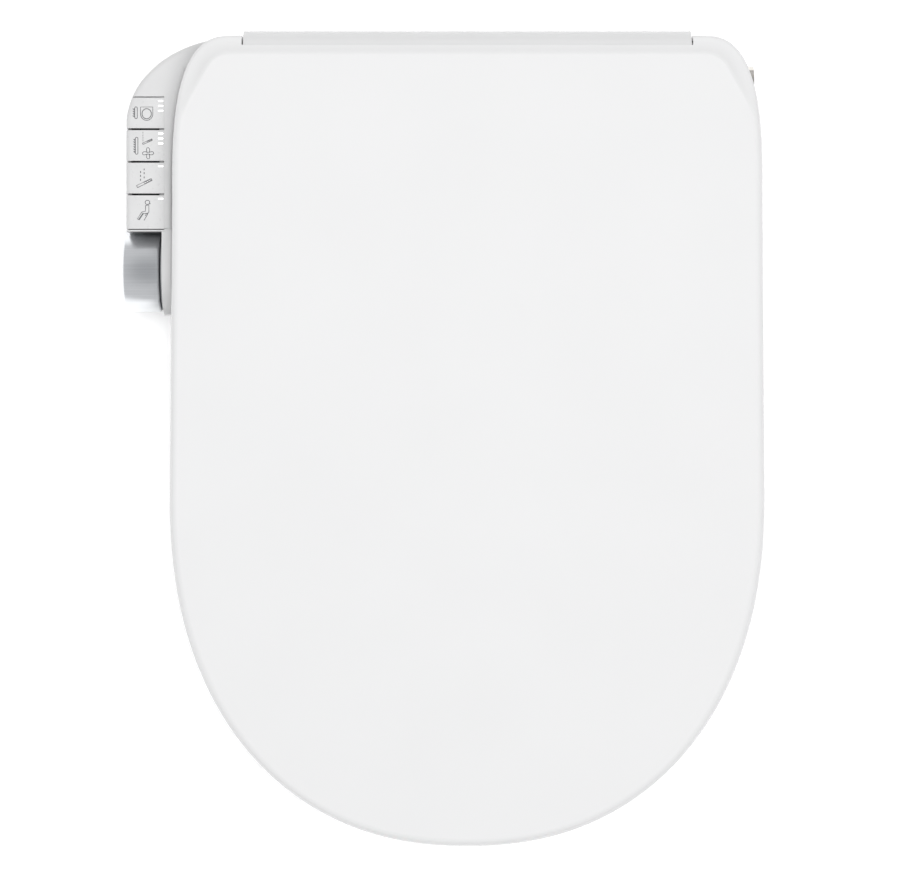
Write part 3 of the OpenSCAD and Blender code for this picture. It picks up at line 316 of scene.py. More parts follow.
def block(low, high):
    bm = bmesh.new()
    bmesh.ops.create_cube(bm, size=1)
    size = (Vector(high) - Vector(low)) * MM
    bmesh.ops.scale(bm, vec=size, verts=bm.verts)
    bmesh.ops.translate(bm, vec=(Vector(high) + Vector(low)) / 2 * MM, verts=bm.verts)
    return bm


def tool(name, bm):
    bmesh.ops.recalc_face_normals(bm, faces=bm.faces)
    mesh = bpy.data.meshes.new(name)
    bm.to_mesh(mesh)
    bm.free()
    cutter = bpy.data.objects.new(name, mesh)
    bpy.context.collection.objects.link(cutter)
    return cutter


def apply_all(piece, smooth=32):
    bpy.context.view_layer.update()
    old = piece.data
    final = piece.evaluated_get(bpy.context.evaluated_depsgraph_get())
    piece.data = bpy.data.meshes.new_from_object(final)
    piece.data.name = piece.name
    piece.modifiers.clear()
    bpy.data.meshes.remove(old)
    shade_smooth(piece.data, smooth)


def carve(piece, *cutters, keep=None, soften=0, smooth=32):
    for cutter in (keep,) * bool(keep) + cutters:
        cut = piece.modifiers.new("cut", "BOOLEAN")
        cut.operation = "INTERSECT" if cutter is keep else "DIFFERENCE"
        cut.solver = "MANIFOLD"
        cut.object = cutter
    if soften:
        apply_all(piece, smooth)
        clean = bmesh.new()
        clean.from_mesh(piece.data)
        bmesh.ops.remove_doubles(clean, verts=clean.verts, dist=1e-5)
        bmesh.ops.dissolve_limit(clean, angle_limit=radians(1), verts=clean.verts, edges=clean.edges)
        hinge_line = max(v.co.x for v in clean.verts) - 1e-4
        bmesh.ops.bevel(clean, geom=[e for e in clean.edges if e.calc_face_angle(0) > 0.7
                                     and not all(v.co.x > hinge_line for v in e.verts)],
                        offset=soften * MM, segments=2, profile=0.5, affect="EDGES", material=-1)
        clean.to_mesh(piece.data)
        clean.free()
    apply_all(piece, smooth)
    for cutter in (keep,) * bool(keep) + cutters:
        bpy.data.objects.remove(cutter)


def box_mm(node):
    return [Vector(v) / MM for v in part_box(node)]


key_high = box_mm("key_1")[1]
rear_key_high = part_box("key_4")[1][1] / MM + 0.6
arm_out, arm_in, arm_top = -box_mm("arm_upper_shell")[0].x, 188, 60
arm_front, arm_split, key_edge = -76.4, 30, key_high.x + 0.2
lip_front = arm_front - 1.8


def arm_outline(d=0, front=arm_front):
    wrap = [bend(-145, -10, 72.5 - d, 56 - d, 2, a) for a in range(90, 181, 3)]
    inside = [bend(-146, -60, 42 + d, 105 + d, 2.9, a) for a in range(180, 134, -3)]
    return (wrap + [(-arm_out + d, front + d), (-arm_in - d, front + d)] + inside +
            [(inside[-1].x, 24 + d), (-141 - d, 24 + d), (-141 - d, 46 - d)])


def arm_block(depth, front=arm_front):
    bm = bmesh.new()
    push(bm, [sheet_of(bm, arm_outline(0, front), arm_top)], (0, 0, -depth))
    bmesh.ops.recalc_face_normals(bm, faces=bm.faces)
    rolled = [e for e in bm.edges if all(v.co.z > (arm_top - 0.1) * MM for v in e.verts)
              and not all(abs(v.co.y - front * MM) < 1e-5 for v in e.verts)
              and not all(v.co.x > -141.5 * MM for v in e.verts)]
    bmesh.ops.bevel(bm, geom=rolled, offset=3.2 * MM, segments=7, profile=0.5, affect="EDGES",
                    material=-1)
    return bm


lip = make_piece("arm_front_lip", arm_block(14, lip_front), arm_satin, "root")
carve(lip, tool("key_opening", block((-arm_out - 5, lip_front + 1, arm_top - 12),
                                     (key_edge, 0, arm_top + 5))),
      keep=tool("front_end", block((-arm_out - 5, lip_front - 5, 0),
                                   (0, arm_front + 0.4, arm_top + 5))), soften=0.15)
arm = make_piece("arm_top_shell", arm_block(arm_top - arm_split), arm_satin, "root")
hollow = bmesh.new()
inner = sheet_of(hollow, arm_outline(2.5), arm_top - 2.6)
push(hollow, [inner], (0, 0, arm_split - arm_top - 5))
carve(arm, tool("arm_hollow", hollow),
      tool("key_opening", block((-arm_out - 5, arm_front - 1, arm_top - 12),
                                (key_edge, rear_key_high, arm_top + 5))))
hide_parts("arm_upper_shell")

bm = block((key_edge - 3, arm_front + 1, arm_top - 8), (key_edge + 0.6, rear_key_high, arm_top - 3.8))
make_piece("arm_key_ledge", bm, arm_satin, "root")
finish("arm_lower_shell", arm_satin)

dial_low, dial_high = box_mm("dial_ring")
dial_y, dial_z = (dial_low.y + dial_high.y) / 2, (dial_low.z + dial_high.z) / 2
dial_r = (dial_high.z - dial_low.z) / 2
cheek_x, cheek_r = box_mm("dial_bezel")[1].x, 28
bm = bmesh.new()
rim = [Vector((dial_y + cheek_r * cos(radians(a)), dial_z + cheek_r * sin(radians(a)), 0))
       for a in range(90, 271, 4)]
rim = ([p for p in rim if p.x < arm_front] +
       [Vector((arm_front, dial_z - cheek_r, 0)), Vector((arm_front, 46, 0)),
        Vector((lip_front + 1, 46, 0)), Vector((lip_front + 1, 59.6, 0))])
face = sheet_of(bm, rim, 0)
push(bm, [face], (0, 0, -arm_in - cheek_x))
along_x(bm, cheek_x)
bmesh.ops.recalc_face_normals(bm, faces=bm.faces)
bmesh.ops.bevel(bm, geom=[e for e in bm.edges if all(v.co.x > (-arm_in - 0.1) * MM for v in e.verts)],
                offset=1.6 * MM, segments=4, profile=0.5, affect="EDGES", material=-1)
make_piece("arm_dial_cheek", bm, arm_satin, "root")

# ---------------------------------------------------------------- touch keys
# Four satin ABS flaps fill the opening edge to edge. Each rocks on its inner edge to press a
# switch, is printed with a thin dark grey pictogram, and has small milky windows over its lamps.
lamp_white, tree, shader, place = start_finish("milky_polycarbonate_lit")
glow = add(tree, "ShaderNodeTexNoise", {"Vector": place}, Scale=300, Detail=1)
shade = add(tree, "ShaderNodeValToRGB", {"Fac": glow.outputs["Fac"]})
stops(shade, (0.3, tone("FAFCFF")), (0.7, tone("FFFFFF")))
tree.links.new(shade.outputs["Color"], shader.inputs["Base Color"])
shader.inputs["Emission Color"].default_value = (1, 1, 1, 1)
shader.inputs["Emission Strength"].default_value = 0.9
shader.inputs["Roughness"].default_value = 0.35

print_ink, tree, shader, place = start_finish("pad_printed_grey_ink")
wear = add(tree, "ShaderNodeTexNoise", {"Vector": place}, Scale=900, Detail=2)
shade = add(tree, "ShaderNodeValToRGB", {"Fac": wear.outputs["Fac"]})
stops(shade, (0.3, tone("47484A")), (0.8, tone("55565A")))
tree.links.new(shade.outputs["Color"], shader.inputs["Base Color"])
shader.inputs["Roughness"].default_value = 0.5


def oval(cx, cy, rx, ry, start=0, stop=360, steps=24):
    return [(cx + rx * cos(radians(start + (stop - start) * i / steps)),
             cy + ry * sin(radians(start + (stop - start) * i / steps))) for i in range(steps + 1)]


def turned(line, degrees, cx, cy):
    c, s = cos(radians(degrees)), sin(radians(degrees))
    return [(cx + x * c - y * s, cy + x * s + y * c) for x, y in line]


def warm(x, low, high, flames):
    left, right, turn = x - 0.8, x + 0.8, 0.7
    outline = ([(left, low + turn)] + oval(x, low + 0.8, 0.8, 0.8, 190, 350, 8) +
               oval(x, high - 0.8, 0.8, 0.8, 10, 170, 8) + [(left, low + turn)])
    pitch = (high - low - 1.6) / flames
    licks = []
    for i in range(flames):
        y = low + 0.8 + pitch * (i + 0.5)
        licks.append([(left, y - pitch * 0.3), (left - 0.7, y - pitch * 0.2),
                      (left - 1.3, y + pitch * 0.25), (left - 0.6, y + pitch * 0.1),
                      (left, y + pitch * 0.3)])
    return [outline] + licks


def moved(lines, x, y, size=1, turn=0):
    return [turned([(px * size, py * size) for px, py in line], turn, x, y) for line in lines]


seat_sign = [oval(0, -0.3, 3.9, 4.1, 180, 360) + [(3.9, 4.1), (-3.9, 4.1), (-3.9, -0.3)],
             oval(0, -0.2, 2.95, 3.2), oval(0, -0.2, 3.0, 3.25)]
wand_sign = [[(-5.3, -0.75), (0, -0.75), (0, 0.75), (-5.3, 0.75), (-5.3, -0.75)],
             [(0, -0.75), (5.3, -0.75), (5.3, 0.75), (0, 0.75)],
             [(0.1, -0.65), (5.2, -0.65), (5.2, 0.65), (0.1, 0.65)],
             [(1.2, 0.75), (2.0, -0.75)], [(2.6, 0.75), (3.4, -0.75)], [(4.0, 0.75), (4.8, -0.75)]]
petal = [(0.3, 0.4), (1.1, 1.0), (1.35, 2.6), (0.7, 3.5), (-0.3, 3.5), (-0.7, 2.6), (-0.6, 1.0),
         (-0.2, 0.4)]
fan_sign = [turned(petal, a, 0, 0) for a in (0, 90, 180, 270)]
sitter_sign = [oval(0.1, 5.9, 1.45, 1.35), [(1.2, 5.5), (2.0, 4.9)],
               [(-1.1, 3.9), (-1.2, 0.2), (-3.4, -0.2), (-6.3, -4.6), (-5.2, -5.4), (-2.5, -1.3),
                (0.2, -1.1), (1.0, -0.2), (1.0, 4.1), (-1.1, 3.9)],
               [(-2.7, -0.9), (-5.5, -5.0)], [(0.5, -1.1), (-0.5, -2.9), (-2.1, -5.6)],
               [(-0.4, -1.1), (-1.3, -2.7)]]
signs = {
    "key_4": moved(seat_sign, -204.3, -3.0) + warm(-211.1, -6.3, 1.2, 4),
    "key_3": (warm(-210.7, -29.0, -18.2, 6) + moved(wand_sign, -203.8, -21.0, 0.62, 24) +
              moved(fan_sign, -203.4, -28.4, 1.0, 8) +
              [[(-206.7, -14.8 - i * 1.05), (-206.7, -15.3 - i * 1.05)] for i in range(6)]),
    "key_2": moved(wand_sign, -205.8, -47.4, 0.98, 26),
    "key_1": moved(sitter_sign, -203.9, -65.6),
}
drops = {"key_2": [(-205.9, -38.7), (-208.2, -40.3), (-205.9, -41.1), (-208.2, -42.8),
                   (-205.9, -43.8), (-208.2, -45.3)]}
lamp_pitch = 3.15
windows = {"key_1": 1, "key_2": 1, "key_3": 3, "key_4": 3}
bodies = {"key_1": "key_one", "key_2": "key_two", "key_3": "key_three", "key_4": "key_four"}

for node, lines in signs.items():
    low, high = box_mm(node)
    rows = [high.y - 2.2 - i * lamp_pitch for i in range(windows[node])]
    key = make_piece(node + "_flap", arm_block(12, lip_front), key_satin, bodies[node])
    hollow = bmesh.new()
    push(hollow, [sheet_of(hollow, arm_outline(1.9, lip_front - 4), arm_top - 2.2)], (0, 0, -20))
    slots = [tool("slot", block((high.x - 3.6, y - 0.45, arm_top - 0.8),
                                (high.x - 0.4, y + 0.45, arm_top + 1))) for y in rows]
    extent = block((low.x - 1, low.y, low.z), (key_edge - 0.06, high.y, arm_top + 1))
    carve(key, tool("flap_hollow", hollow), *slots, keep=tool("extent", extent), soften=0.18)
    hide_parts(node)

    bm = bmesh.new()
    for y in rows:
        spot = Matrix.Translation(Vector((high.x - 2, y, arm_top - 0.38)) * MM)
        bmesh.ops.create_cube(bm, size=1, matrix=spot @ Matrix.Diagonal(
            (3.14 * MM, 0.84 * MM, 0.8 * MM, 1)))
    bmesh.ops.bevel(bm, geom=[e for e in bm.edges if abs(e.verts[0].co.z - e.verts[1].co.z) > 1e-4],
                    offset=0.3 * MM, segments=3, profile=0.5, affect="EDGES", material=-1)
    make_piece(node + "_lamps", bm, lamp_white, bodies[node])

    drawing = bpy.data.curves.new(node + "_print", "CURVE")
    drawing.dimensions = "3D"
    drawing.bevel_depth = 0.2 * MM
    drawing.bevel_resolution = 1
    for line in lines:
        spline = drawing.splines.new("POLY")
        spline.points.add(len(line) - 1)
        for point, (x, y) in zip(spline.points, line):
            point.co = (x * MM, y * MM, 0, 1)
    for x, y in drops.get(node, []):
        spline = drawing.splines.new("POLY")
        spline.points.add(1)
        for point, reach in zip(spline.points, (-0.25, 0.25)):
            point.co, point.radius = ((x + reach) * MM, y * MM, 0, 1), 3
    stroke = bpy.data.objects.new(node + "_strokes", drawing)
    bpy.context.collection.objects.link(stroke)
    bpy.context.view_layer.update()
    final = stroke.evaluated_get(bpy.context.evaluated_depsgraph_get())
    mesh = bpy.data.meshes.new_from_object(final)
    bpy.data.objects.remove(stroke)
    mesh.transform(Matrix.Translation((0, 0, (arm_top + 0.01) * MM)) @ Matrix.Diagonal((1, 1, 0.2, 1)))
    mesh.materials.clear()
    mesh.materials.append(print_ink)
    sign = bpy.data.objects.new(node + "_print", mesh)
    bpy.context.collection.objects.link(sign)
    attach(sign, bodies[node])

# ---------------------------------------------------------------- dial
# The dial's ring is turned aluminium, brushed along its axis, with a small chamfer at each
# edge. A flush end cap closes it, and a grey nylon bezel stands behind it on the arm's cheek.
brushed, tree, shader, place = start_finish("brushed_anodised_aluminium")
along = add(tree, "ShaderNodeMapping", {"Vector": place}, Scale=(14, 1100, 1100))
lines = add(tree, "ShaderNodeTexNoise", {"Vector": along.outputs["Vector"]}, Scale=1, Detail=4)
gloss = add(tree, "ShaderNodeMapRange", {"Value": lines.outputs["Fac"]}, To_Min=0.26, To_Max=0.36)
tree.links.new(gloss.outputs["Result"], shader.inputs["Roughness"])
shade = add(tree, "ShaderNodeValToRGB", {"Fac": lines.outputs["Fac"]})
stops(shade, (0.2, tone("DADCDE")), (0.8, tone("E8EAEC")))
tree.links.new(shade.outputs["Color"], shader.inputs["Base Color"])
bump = add(tree, "ShaderNodeBump", {"Height": lines.outputs["Fac"]}, Strength=0.25, Distance=0.00003)
tree.links.new(bump.outputs["Normal"], shader.inputs["Normal"])
shader.inputs["Metallic"].default_value = 1.0


def turn_piece(name, profile, material, body, smooth=40):
    bm = bmesh.new()
    points = [bm.verts.new((x * MM, 0, r * MM)) for x, r in profile]
    edges = [bm.edges.new((points[i], points[(i + 1) % len(points)])) for i in range(len(points))]
    bmesh.ops.spin(bm, geom=points + edges, cent=(0, 0, 0), axis=(1, 0, 0), angle=2 * pi, steps=144,
                   use_merge=True)
    bmesh.ops.translate(bm, vec=(0, dial_y * MM, dial_z * MM), verts=bm.verts)
    return make_piece(name, bm, material, body, smooth)


out, back, r = dial_low.x, dial_high.x, dial_r
grip_profile = [(out + 3, r - 5), (out + 0.3, r - 5), (out, r - 4.6), (out, r - 1.5),
                (out + 0.35, r - 0.6), (out + 1.1, r), (back - 1.5, r), (back - 0.9, r - 0.25),
                (back - 0.3, r - 0.9), (back, r - 1.4), (back, r - 3), (out + 3, r - 3)]
ring = turn_piece("dial_grip", grip_profile, brushed, "dial")
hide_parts("dial_ring")
cap_profile = [(out + 0.5, 0.02), (out + 0.3, r - 6.4), (out + 0.45, r - 5.3), (out + 0.8, r - 5.02),
               (out + 2.9, r - 5.02), (out + 2.9, r - 3.12), (out + 5, r - 3.12), (out + 5, 6),
               (out + 10, 6), (out + 10, 3.02), (out + 4, 3.02), (out + 4, 0.02)]
cap = turn_piece("dial_end_cap", cap_profile, brushed, "dial")
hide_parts("dial_cap")
finish("dial_bezel", moulded("moulded_nylon_grey", "8C8E91", 0.4, 1.0, 0.01, 0.05))
finish("dial_encoder", dark_moulded)

# ---------------------------------------------------------------- seat
# A hollow ring welded from two gloss polypropylene halves, with a heating foil bonded under
# its top. Two arms reach back over the casing's shoulders to the hinge shafts.
class Ring:
    def __init__(self, count):
        self.bm = bmesh.new()
        self.layer = self.bm.verts.layers.int.new("place")
        made = bmesh.ops.create_circle(self.bm, cap_ends=False, segments=count, radius=1)["verts"]
        for i, vert in enumerate(made):
            vert[self.layer] = i
        self.verts, self.edges = made, list(self.bm.edges)

    def set(self, points):
        for vert in self.verts:
            vert.co = Vector(points[vert[self.layer]]) * MM

    def grow(self, points):
        made = bmesh.ops.extrude_edge_only(self.bm, edges=self.edges)["geom"]
        self.verts = [g for g in made if isinstance(g, bmesh.types.BMVert)]
        self.edges = [g for g in made if isinstance(g, bmesh.types.BMEdge)]
        self.set(points)


lid_half, nose_y, nose_l = box_mm("lid_shell")[1].x, -249.2, 221.1
seat_half, seat_rear, seat_top = box_mm("seat_upper_shell")[1].x, -78.0, 44.5
hole_mid = -256.15


def seat_edge(d):
    rear_x, corner = seat_half - 24, 22
    return ([bend(0, nose_y, seat_half - d, nose_l - 5 - d, 2.23, 180 + i * 1.5) for i in range(121)] +
            [bend(rear_x, seat_rear - corner, corner - d, corner - d, 2, a)
             for a in range(0, 91, 6)] +
            [Vector((x, seat_rear - d, 0)) for x in range(int(rear_x) - 20, -int(rear_x), -20)] +
            [bend(-rear_x, seat_rear - corner, corner - d, corner - d, 2, a)
             for a in range(90, 181, 6)])


def hole_edge(outer, d):
    ring = []
    for p in outer:
        a = atan2(p.y - hole_mid, p.x)
        fullness = 2.5 if a > 0 else 2.15
        c, s = abs(cos(a)) / (107 + d), abs(sin(a)) / (144.15 + d)
        r = (c ** fullness + s ** fullness) ** (-1 / fullness)
        ring.append(Vector((r * cos(a), hole_mid + r * sin(a), 0)))
    return ring


def at(points, z):
    return [Vector((p[0], p[1], z)) for p in points]


outer = seat_edge(0)
inner = hole_edge(outer, 0)
ring = Ring(len(outer))
ring.set(at(outer, 20))
ring.grow(at(outer, seat_top - 11))
for k in range(1, 10):
    a = radians(90 * k / 9)
    ring.grow(at(seat_edge(9 * (1 - cos(a))), seat_top - 11 + 11 * sin(a)))
for k in range(1, 12):
    f = k / 12
    dip = 1.6 * sin(pi * f)
    ring.grow([a.lerp(b, f) + Vector((0, 0, seat_top - dip))
               for a, b in zip(seat_edge(9), hole_edge(outer, 10))])
for k in range(9, -1, -1):
    a = radians(90 * k / 9)
    ring.grow(at(hole_edge(outer, 10 * (1 - cos(a))), seat_top - 12 + 12 * sin(a)))
ring.grow(at(inner, 20))
seat = make_piece("seat_ring_top", ring.bm, seat_gloss, "seat", 50)
wall = seat.modifiers.new("wall", "SOLIDIFY")
wall.thickness = 2.4 * MM
wall.offset = -1
carve(seat, tool("nozzle_trough", block((-24, -114, 10), (24, -60, 27.5))), smooth=50)
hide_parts("seat_upper_shell")
finish("seat_lower_shell", seat_gloss)

shaft_low, shaft_high = box_mm("seat_shaft")
hinge_y, hinge_z = (shaft_low.y + shaft_high.y) / 2, (shaft_low.z + shaft_high.z) / 2
for side, inner_x, outer_x in (("left", -153.3, -147.3), ("right", 147.3, 153.3)):
    bm = bmesh.new()
    for y, z, radius in ((hinge_y, hinge_z, 7.5), (seat_rear - 18, seat_top - 15, 9)):
        for x in (inner_x, outer_x):
            bmesh.ops.create_circle(bm, segments=48, radius=radius * MM, matrix=Matrix.Translation(
                Vector((x, y, z)) * MM) @ Matrix.Rotation(pi / 2, 4, "Y"))
    bmesh.ops.convex_hull(bm, input=bm.verts)
    bmesh.ops.dissolve_limit(bm, angle_limit=radians(1), verts=bm.verts, edges=bm.edges)
    bmesh.ops.bevel(bm, geom=[e for e in bm.edges if e.calc_face_angle(0) > 1], offset=1.0 * MM,
                    segments=4, profile=0.5, affect="EDGES", material=-1)
    make_piece("seat_arm_" + side, bm, seat_gloss, "seat")

foil, tree, shader, place = start_finish("aluminium_heating_foil")
crease = add(tree, "ShaderNodeTexVoronoi", {"Vector": place}, Scale=90, feature="DISTANCE_TO_EDGE")
bump = add(tree, "ShaderNodeBump", {"Height": crease.outputs["Distance"]}, Strength=0.5, Distance=0.0004)
tree.links.new(bump.outputs["Normal"], shader.inputs["Normal"])
shader.inputs["Base Color"].default_value = tone("DEDFE1")
shader.inputs["Metallic"].default_value = 1.0
shader.inputs["Roughness"].default_value = 0.3
finish("seat_heater", foil)
finish("seat_thermal_cutout", dark_moulded)

# ---------------------------------------------------------------- lid
# One gloss ABS shell, dead flat on top, with a tight rolled edge at its sides and front and
# a wider sloping band round each rear shoulder. Its rear lip rolls down over the barrel.
lid_front = 470.3
slope = 38 / (hinge_y + lid_front)


def lid_level(y):
    return 100 + (y - hinge_y) * slope


def lid_point(i, d):
    right = lid_half - 2.6 - 40
    if i < 145:
        return bend(0, nose_y, lid_half - d, nose_l - d, 2.23, 180 + i * 1.25)
    if i < 186:
        return bend(right, -60, 40 - d, 103 - d, 2.9, (i - 145) * 2.25)
    return bend(-right, -60, 40 - d, 103 - d, 2.9, 90 + (i - 186) * 2.25)


def lid_edge(d):
    return [lid_point(i, d) for i in range(227)]


def shoulder(y):
    f = min(1, max(0, (y + 12) / 44))
    return f * f * (3 - 2 * f)


def lid_ring(t, extra=0):
    points = []
    for i, p in enumerate(lid_edge(0)):
        s = shoulder(p.y)
        d = t * (4.6 + 7.4 * s) + extra
        q = lid_point(i, d)
        side = 5.2 * (1 - sqrt(max(0, 1 - (1 - t) ** 2)))
        band = 5.6 * (1 - t ** 2) + 2.6 * (1 - sqrt(max(0, 1 - max(0, 1 - t / 0.2) ** 2)))
        points.append(Vector((q.x, q.y, lid_level(q.y) - side * (1 - s) - band * s)))
    return points


ring = Ring(227)
ring.set([Vector((p.x, p.y, 48 + max(0, p.y + 5) * 0.5)) for p in lid_edge(0)])
for t in (0, 0.01, 0.03, 0.06, 0.1, 0.15, 0.2, 0.28, 0.38, 0.5, 0.65, 0.82, 1):
    ring.grow(lid_ring(t))
ring.grow(lid_ring(1, 0.6))
ring.grow(lid_ring(1, 1.6))
bmesh.ops.contextual_create(ring.bm, geom=ring.edges)
lid = make_piece("lid_cover", ring.bm, lid_gloss, "lid", 50)
wall = lid.modifiers.new("wall", "SOLIDIFY")
wall.thickness = 2.8 * MM
wall.offset = -1
wall.use_even_offset = True
apply_all(lid, 50)

barrel_half = 141.8
bm = block((-barrel_half, hinge_y + 5.7, 20), (barrel_half, 80, 130))
hole = bmesh.new()
bmesh.ops.create_cone(hole, cap_ends=True, segments=128, radius1=16.2 * MM, radius2=16.2 * MM,
                      depth=2 * barrel_half * MM,
                      matrix=Matrix.Translation((0, hinge_y * MM, hinge_z * MM)) @
                      Matrix.Rotation(pi / 2, 4, "Y"))
arc = [(hinge_y + 19 * sin(radians(a)), hinge_z + 19 * cos(radians(a))) for a in range(0, 31, 2)]
over = bmesh.new()
face = sheet_of(over, arc + [(80, arc[-1][1]), (80, 130), (hinge_y, 130)], 0)
push(over, [face], (0, 0, 2 * barrel_half))
along_x(over, -barrel_half)
ear_rooms = [tool("ear_room", block((x, hinge_y - 5, 0), (x + 8.6, 80, hinge_z + 4)))
             for x in (-154.9, 146.3)]
carve(lid, tool("barrel_place", bm), tool("barrel_room", hole), tool("lip_roll", over), *ear_rooms,
      smooth=50)
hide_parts("lid_shell")

for side, x0 in (("left", -146.3), ("right", barrel_half)):
    bm = bmesh.new()
    arc = [(hinge_y + 8.5 * cos(radians(a)), hinge_z + 8.5 * sin(radians(a))) for a in range(180, 361, 6)]
    face = sheet_of(bm, arc + [(hinge_y + 7.5, 92.5), (hinge_y + 4.5, 96.6), (hinge_y - 8.5, 97.2)], 0)
    push(bm, [face], (0, 0, 4.5))
    along_x(bm, x0)
    make_piece("lid_ear_" + side, bm, lid_gloss, "lid")

bm = bmesh.new()
post_foot = 48.5
for x, y in ((0.66, -0.74), (0.8, -0.34)):
    for side in (-1, 1):
        top = lid_level(y * lid_front) - 2.6
        middle = Vector((side * x * 188.6, y * lid_front, (top + post_foot) / 2))
        bmesh.ops.create_cone(bm, cap_ends=True, segments=40, radius1=5 * MM, radius2=5 * MM,
                              depth=(top - post_foot) * MM, matrix=Matrix.Translation(middle * MM))
make_piece("lid_bumper_posts", bm, lid_gloss, "lid")

# ---------------------------------------------------------------- water side
# Water enters through a nickel-plated brass fitting with a mesh filter, passes a solenoid
# valve and a turbine meter, and is warmed in a ceramic instant heater.
nickel, tree, shader, place = start_finish("nickel_plated_brass")
polish = add(tree, "ShaderNodeTexNoise", {"Vector": place}, Scale=500, Detail=3)
gloss = add(tree, "ShaderNodeMapRange", {"Value": polish.outputs["Fac"]}, To_Min=0.1, To_Max=0.2)
tree.links.new(gloss.outputs["Result"], shader.inputs["Roughness"])
shader.inputs["Base Color"].default_value = tone("D5D2CC")
shader.inputs["Metallic"].default_value = 1.0
finish("water_inlet", nickel)
finish("inlet_filter", blue_moulded)
finish("valve_body", inner_white)
finish("flow_sensor", dark_moulded)
finish("flow_turbine", blue_moulded)

copper, tree, shader, place = start_finish("enamelled_copper_winding")
turns = add(tree, "ShaderNodeTexWave", {"Vector": place}, wave_type="BANDS", bands_direction="Z",
            Scale=160, Distortion=0.6, Detail=1)
bump = add(tree, "ShaderNodeBump", {"Height": turns.outputs["Fac"]}, Strength=0.7, Distance=0.0003)
tree.links.new(bump.outputs["Normal"], shader.inputs["Normal"])
shade = add(tree, "ShaderNodeValToRGB", {"Fac": turns.outputs["Fac"]})
stops(shade, (0.1, tone("7A3A16")), (0.9, tone("B8652F")))
tree.links.new(shade.outputs["Color"], shader.inputs["Base Color"])
shader.inputs["Metallic"].default_value = 0.7
shader.inputs["Roughness"].default_value = 0.35
finish("valve_coil", copper)

ceramic, tree, shader, place = start_finish("fired_ceramic_tan")
specks = add(tree, "ShaderNodeTexNoise", {"Vector": place}, Scale=700, Detail=4)
shade = add(tree, "ShaderNodeValToRGB", {"Fac": specks.outputs["Fac"]})
stops(shade, (0.35, tone("C9B891")), (0.6, tone("DCCDA8")))
tree.links.new(shade.outputs["Color"], shader.inputs["Base Color"])
bump = add(tree, "ShaderNodeBump", {"Height": specks.outputs["Fac"]}, Strength=0.4, Distance=0.00008)
tree.links.new(bump.outputs["Normal"], shader.inputs["Normal"])
shader.inputs["Roughness"].default_value = 0.62
finish("water_heater", ceramic)
finish("dryer_heater", ceramic)

silicone, tree, shader, place = start_finish("translucent_silicone_tube")
cloud = add(tree, "ShaderNodeTexNoise", {"Vector": place}, Scale=200, Detail=2)
gloss = add(tree, "ShaderNodeMapRange", {"Value": cloud.outputs["Fac"]}, To_Min=0.3, To_Max=0.45)
tree.links.new(gloss.outputs["Result"], shader.inputs["Roughness"])
shader.inputs["Base Color"].default_value = tone("D4E2EC")
shader.inputs["Transmission Weight"].default_value = 0.5
shader.inputs["IOR"].default_value = 1.41
finish("water_tubes", silicone)

# ---------------------------------------------------------------- wash nozzles
# Two stainless tubes with white moulded tips slide in a natural acetal cradle, each pushed
# out along its rack by a small stepper motor and pinion.
stainless, tree, shader, place = start_finish("brushed_stainless_tube")
along = add(tree, "ShaderNodeMapping", {"Vector": place}, Scale=(1800, 60, 1800))
lines = add(tree, "ShaderNodeTexNoise", {"Vector": along.outputs["Vector"]}, Scale=1, Detail=3)
gloss = add(tree, "ShaderNodeMapRange", {"Value": lines.outputs["Fac"]}, To_Min=0.16, To_Max=0.32)
tree.links.new(gloss.outputs["Result"], shader.inputs["Roughness"])
shader.inputs["Base Color"].default_value = tone("CBCCCE")
shader.inputs["Metallic"].default_value = 1.0
for node in ("rear_wand", "front_wand"):
    finish(node, stainless)
for node in ("rear_tip", "front_tip", "dryer_flap"):
    finish(node, seat_gloss)
for node in ("nozzle_cradle", "rear_pinion", "front_pinion"):
    finish(node, inner_white)

# ---------------------------------------------------------------- warm-air dryer
# A centrifugal blower in black nylon feeds a white duct past a wire heater to an outlet
# flap at the casing's front.
for node in ("blower_housing", "blower_impeller"):
    finish(node, dark_moulded)
finish("air_duct", inner_white)

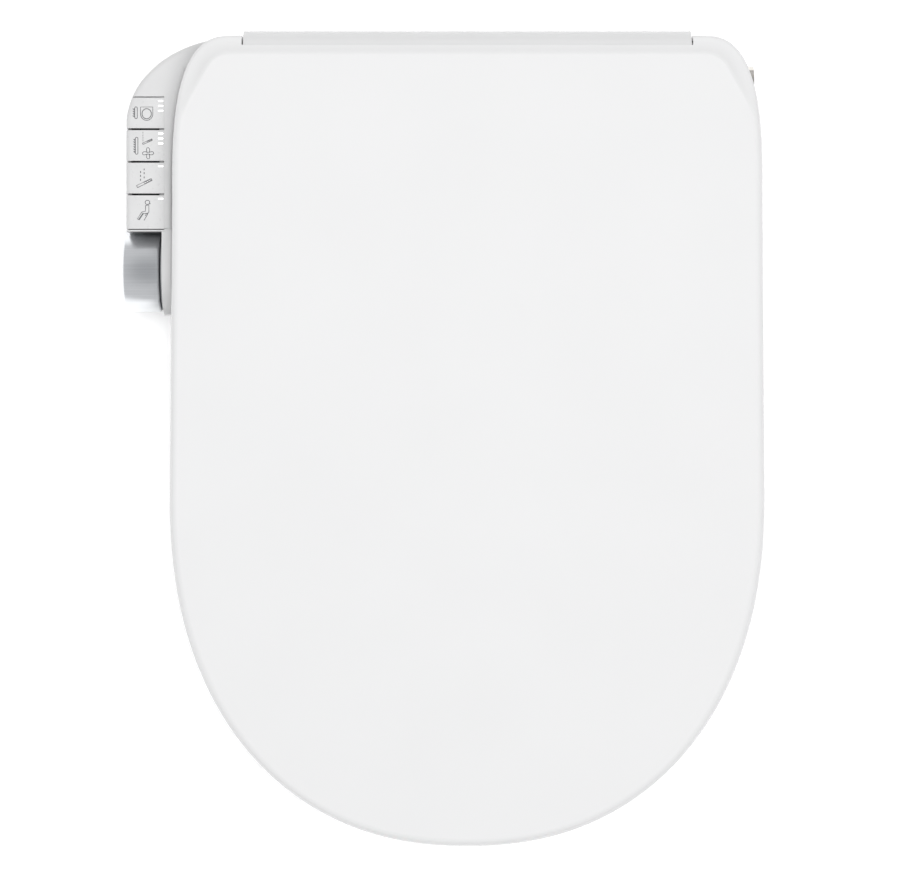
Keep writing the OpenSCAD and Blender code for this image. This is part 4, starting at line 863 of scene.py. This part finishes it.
# ---------------------------------------------------------------- electrics
# The control board is green glass-fibre laminate and the key board black, both with soldered
# parts; a varnished transformer feeds them, and the mains lead enters by a black rubber gland.
def board(name, face_z, mask, mask_light, trace):
    material, tree, shader, place = start_finish(name)
    traces = add(tree, "ShaderNodeTexBrick", {"Vector": place}, Scale=60, Mortar_Size=0.03,
                 Color1=tone(mask), Color2=tone(mask_light), Mortar=tone(trace))
    height = add(tree, "ShaderNodeSeparateXYZ", {"Vector": place}).outputs["Z"]
    above = add(tree, "ShaderNodeMath", {"Value": height}, operation="GREATER_THAN")
    above.inputs[1].default_value = face_z * MM
    parts = add(tree, "ShaderNodeTexVoronoi", {"Vector": place}, Scale=30)
    part_tone = add(tree, "ShaderNodeValToRGB", {"Fac": parts.outputs["Distance"]})
    stops(part_tone, (0.2, tone("1C1D20")), (0.9, tone("3A3B40")))
    mix = add(tree, "ShaderNodeMix", {"Factor": above.outputs[0]}, data_type="RGBA")
    tree.links.new(traces.outputs["Color"], mix.inputs[6])
    tree.links.new(part_tone.outputs["Color"], mix.inputs[7])
    tree.links.new(mix.outputs[2], shader.inputs["Base Color"])
    shader.inputs["Roughness"].default_value = 0.38
    return material


finish("main_board", board("green_laminate_main", 63.7, "1F5C38", "246642", "2F7B52"))
finish("key_board", board("black_laminate_keys", 51.5, "2A2B2C", "303132", "3A3B3C"))

core, tree, shader, place = start_finish("varnished_core_steel")
plates = add(tree, "ShaderNodeTexWave", {"Vector": place}, wave_type="BANDS", bands_direction="X",
             Scale=320, Distortion=0.1)
shade = add(tree, "ShaderNodeValToRGB", {"Fac": plates.outputs["Fac"]})
stops(shade, (0.2, tone("3B3F44")), (0.8, tone("51565C")))
tree.links.new(shade.outputs["Color"], shader.inputs["Base Color"])
bump = add(tree, "ShaderNodeBump", {"Height": plates.outputs["Fac"]}, Strength=0.5, Distance=0.0002)
tree.links.new(bump.outputs["Normal"], shader.inputs["Normal"])
shader.inputs["Metallic"].default_value = 0.4
shader.inputs["Roughness"].default_value = 0.42
finish("power_supply", core)

gland_rubber, tree, shader, place = start_finish("black_cable_rubber")
pores = add(tree, "ShaderNodeTexNoise", {"Vector": place}, Scale=1500, Detail=2)
shade = add(tree, "ShaderNodeValToRGB", {"Fac": pores.outputs["Fac"]})
stops(shade, (0.3, tone("161616")), (0.8, tone("1F1F20")))
tree.links.new(shade.outputs["Color"], shader.inputs["Base Color"])
bump = add(tree, "ShaderNodeBump", {"Height": pores.outputs["Fac"]}, Strength=0.4, Distance=0.00005)
tree.links.new(bump.outputs["Normal"], shader.inputs["Normal"])
shader.inputs["Roughness"].default_value = 0.7
finish("cable_gland", gland_rubber)
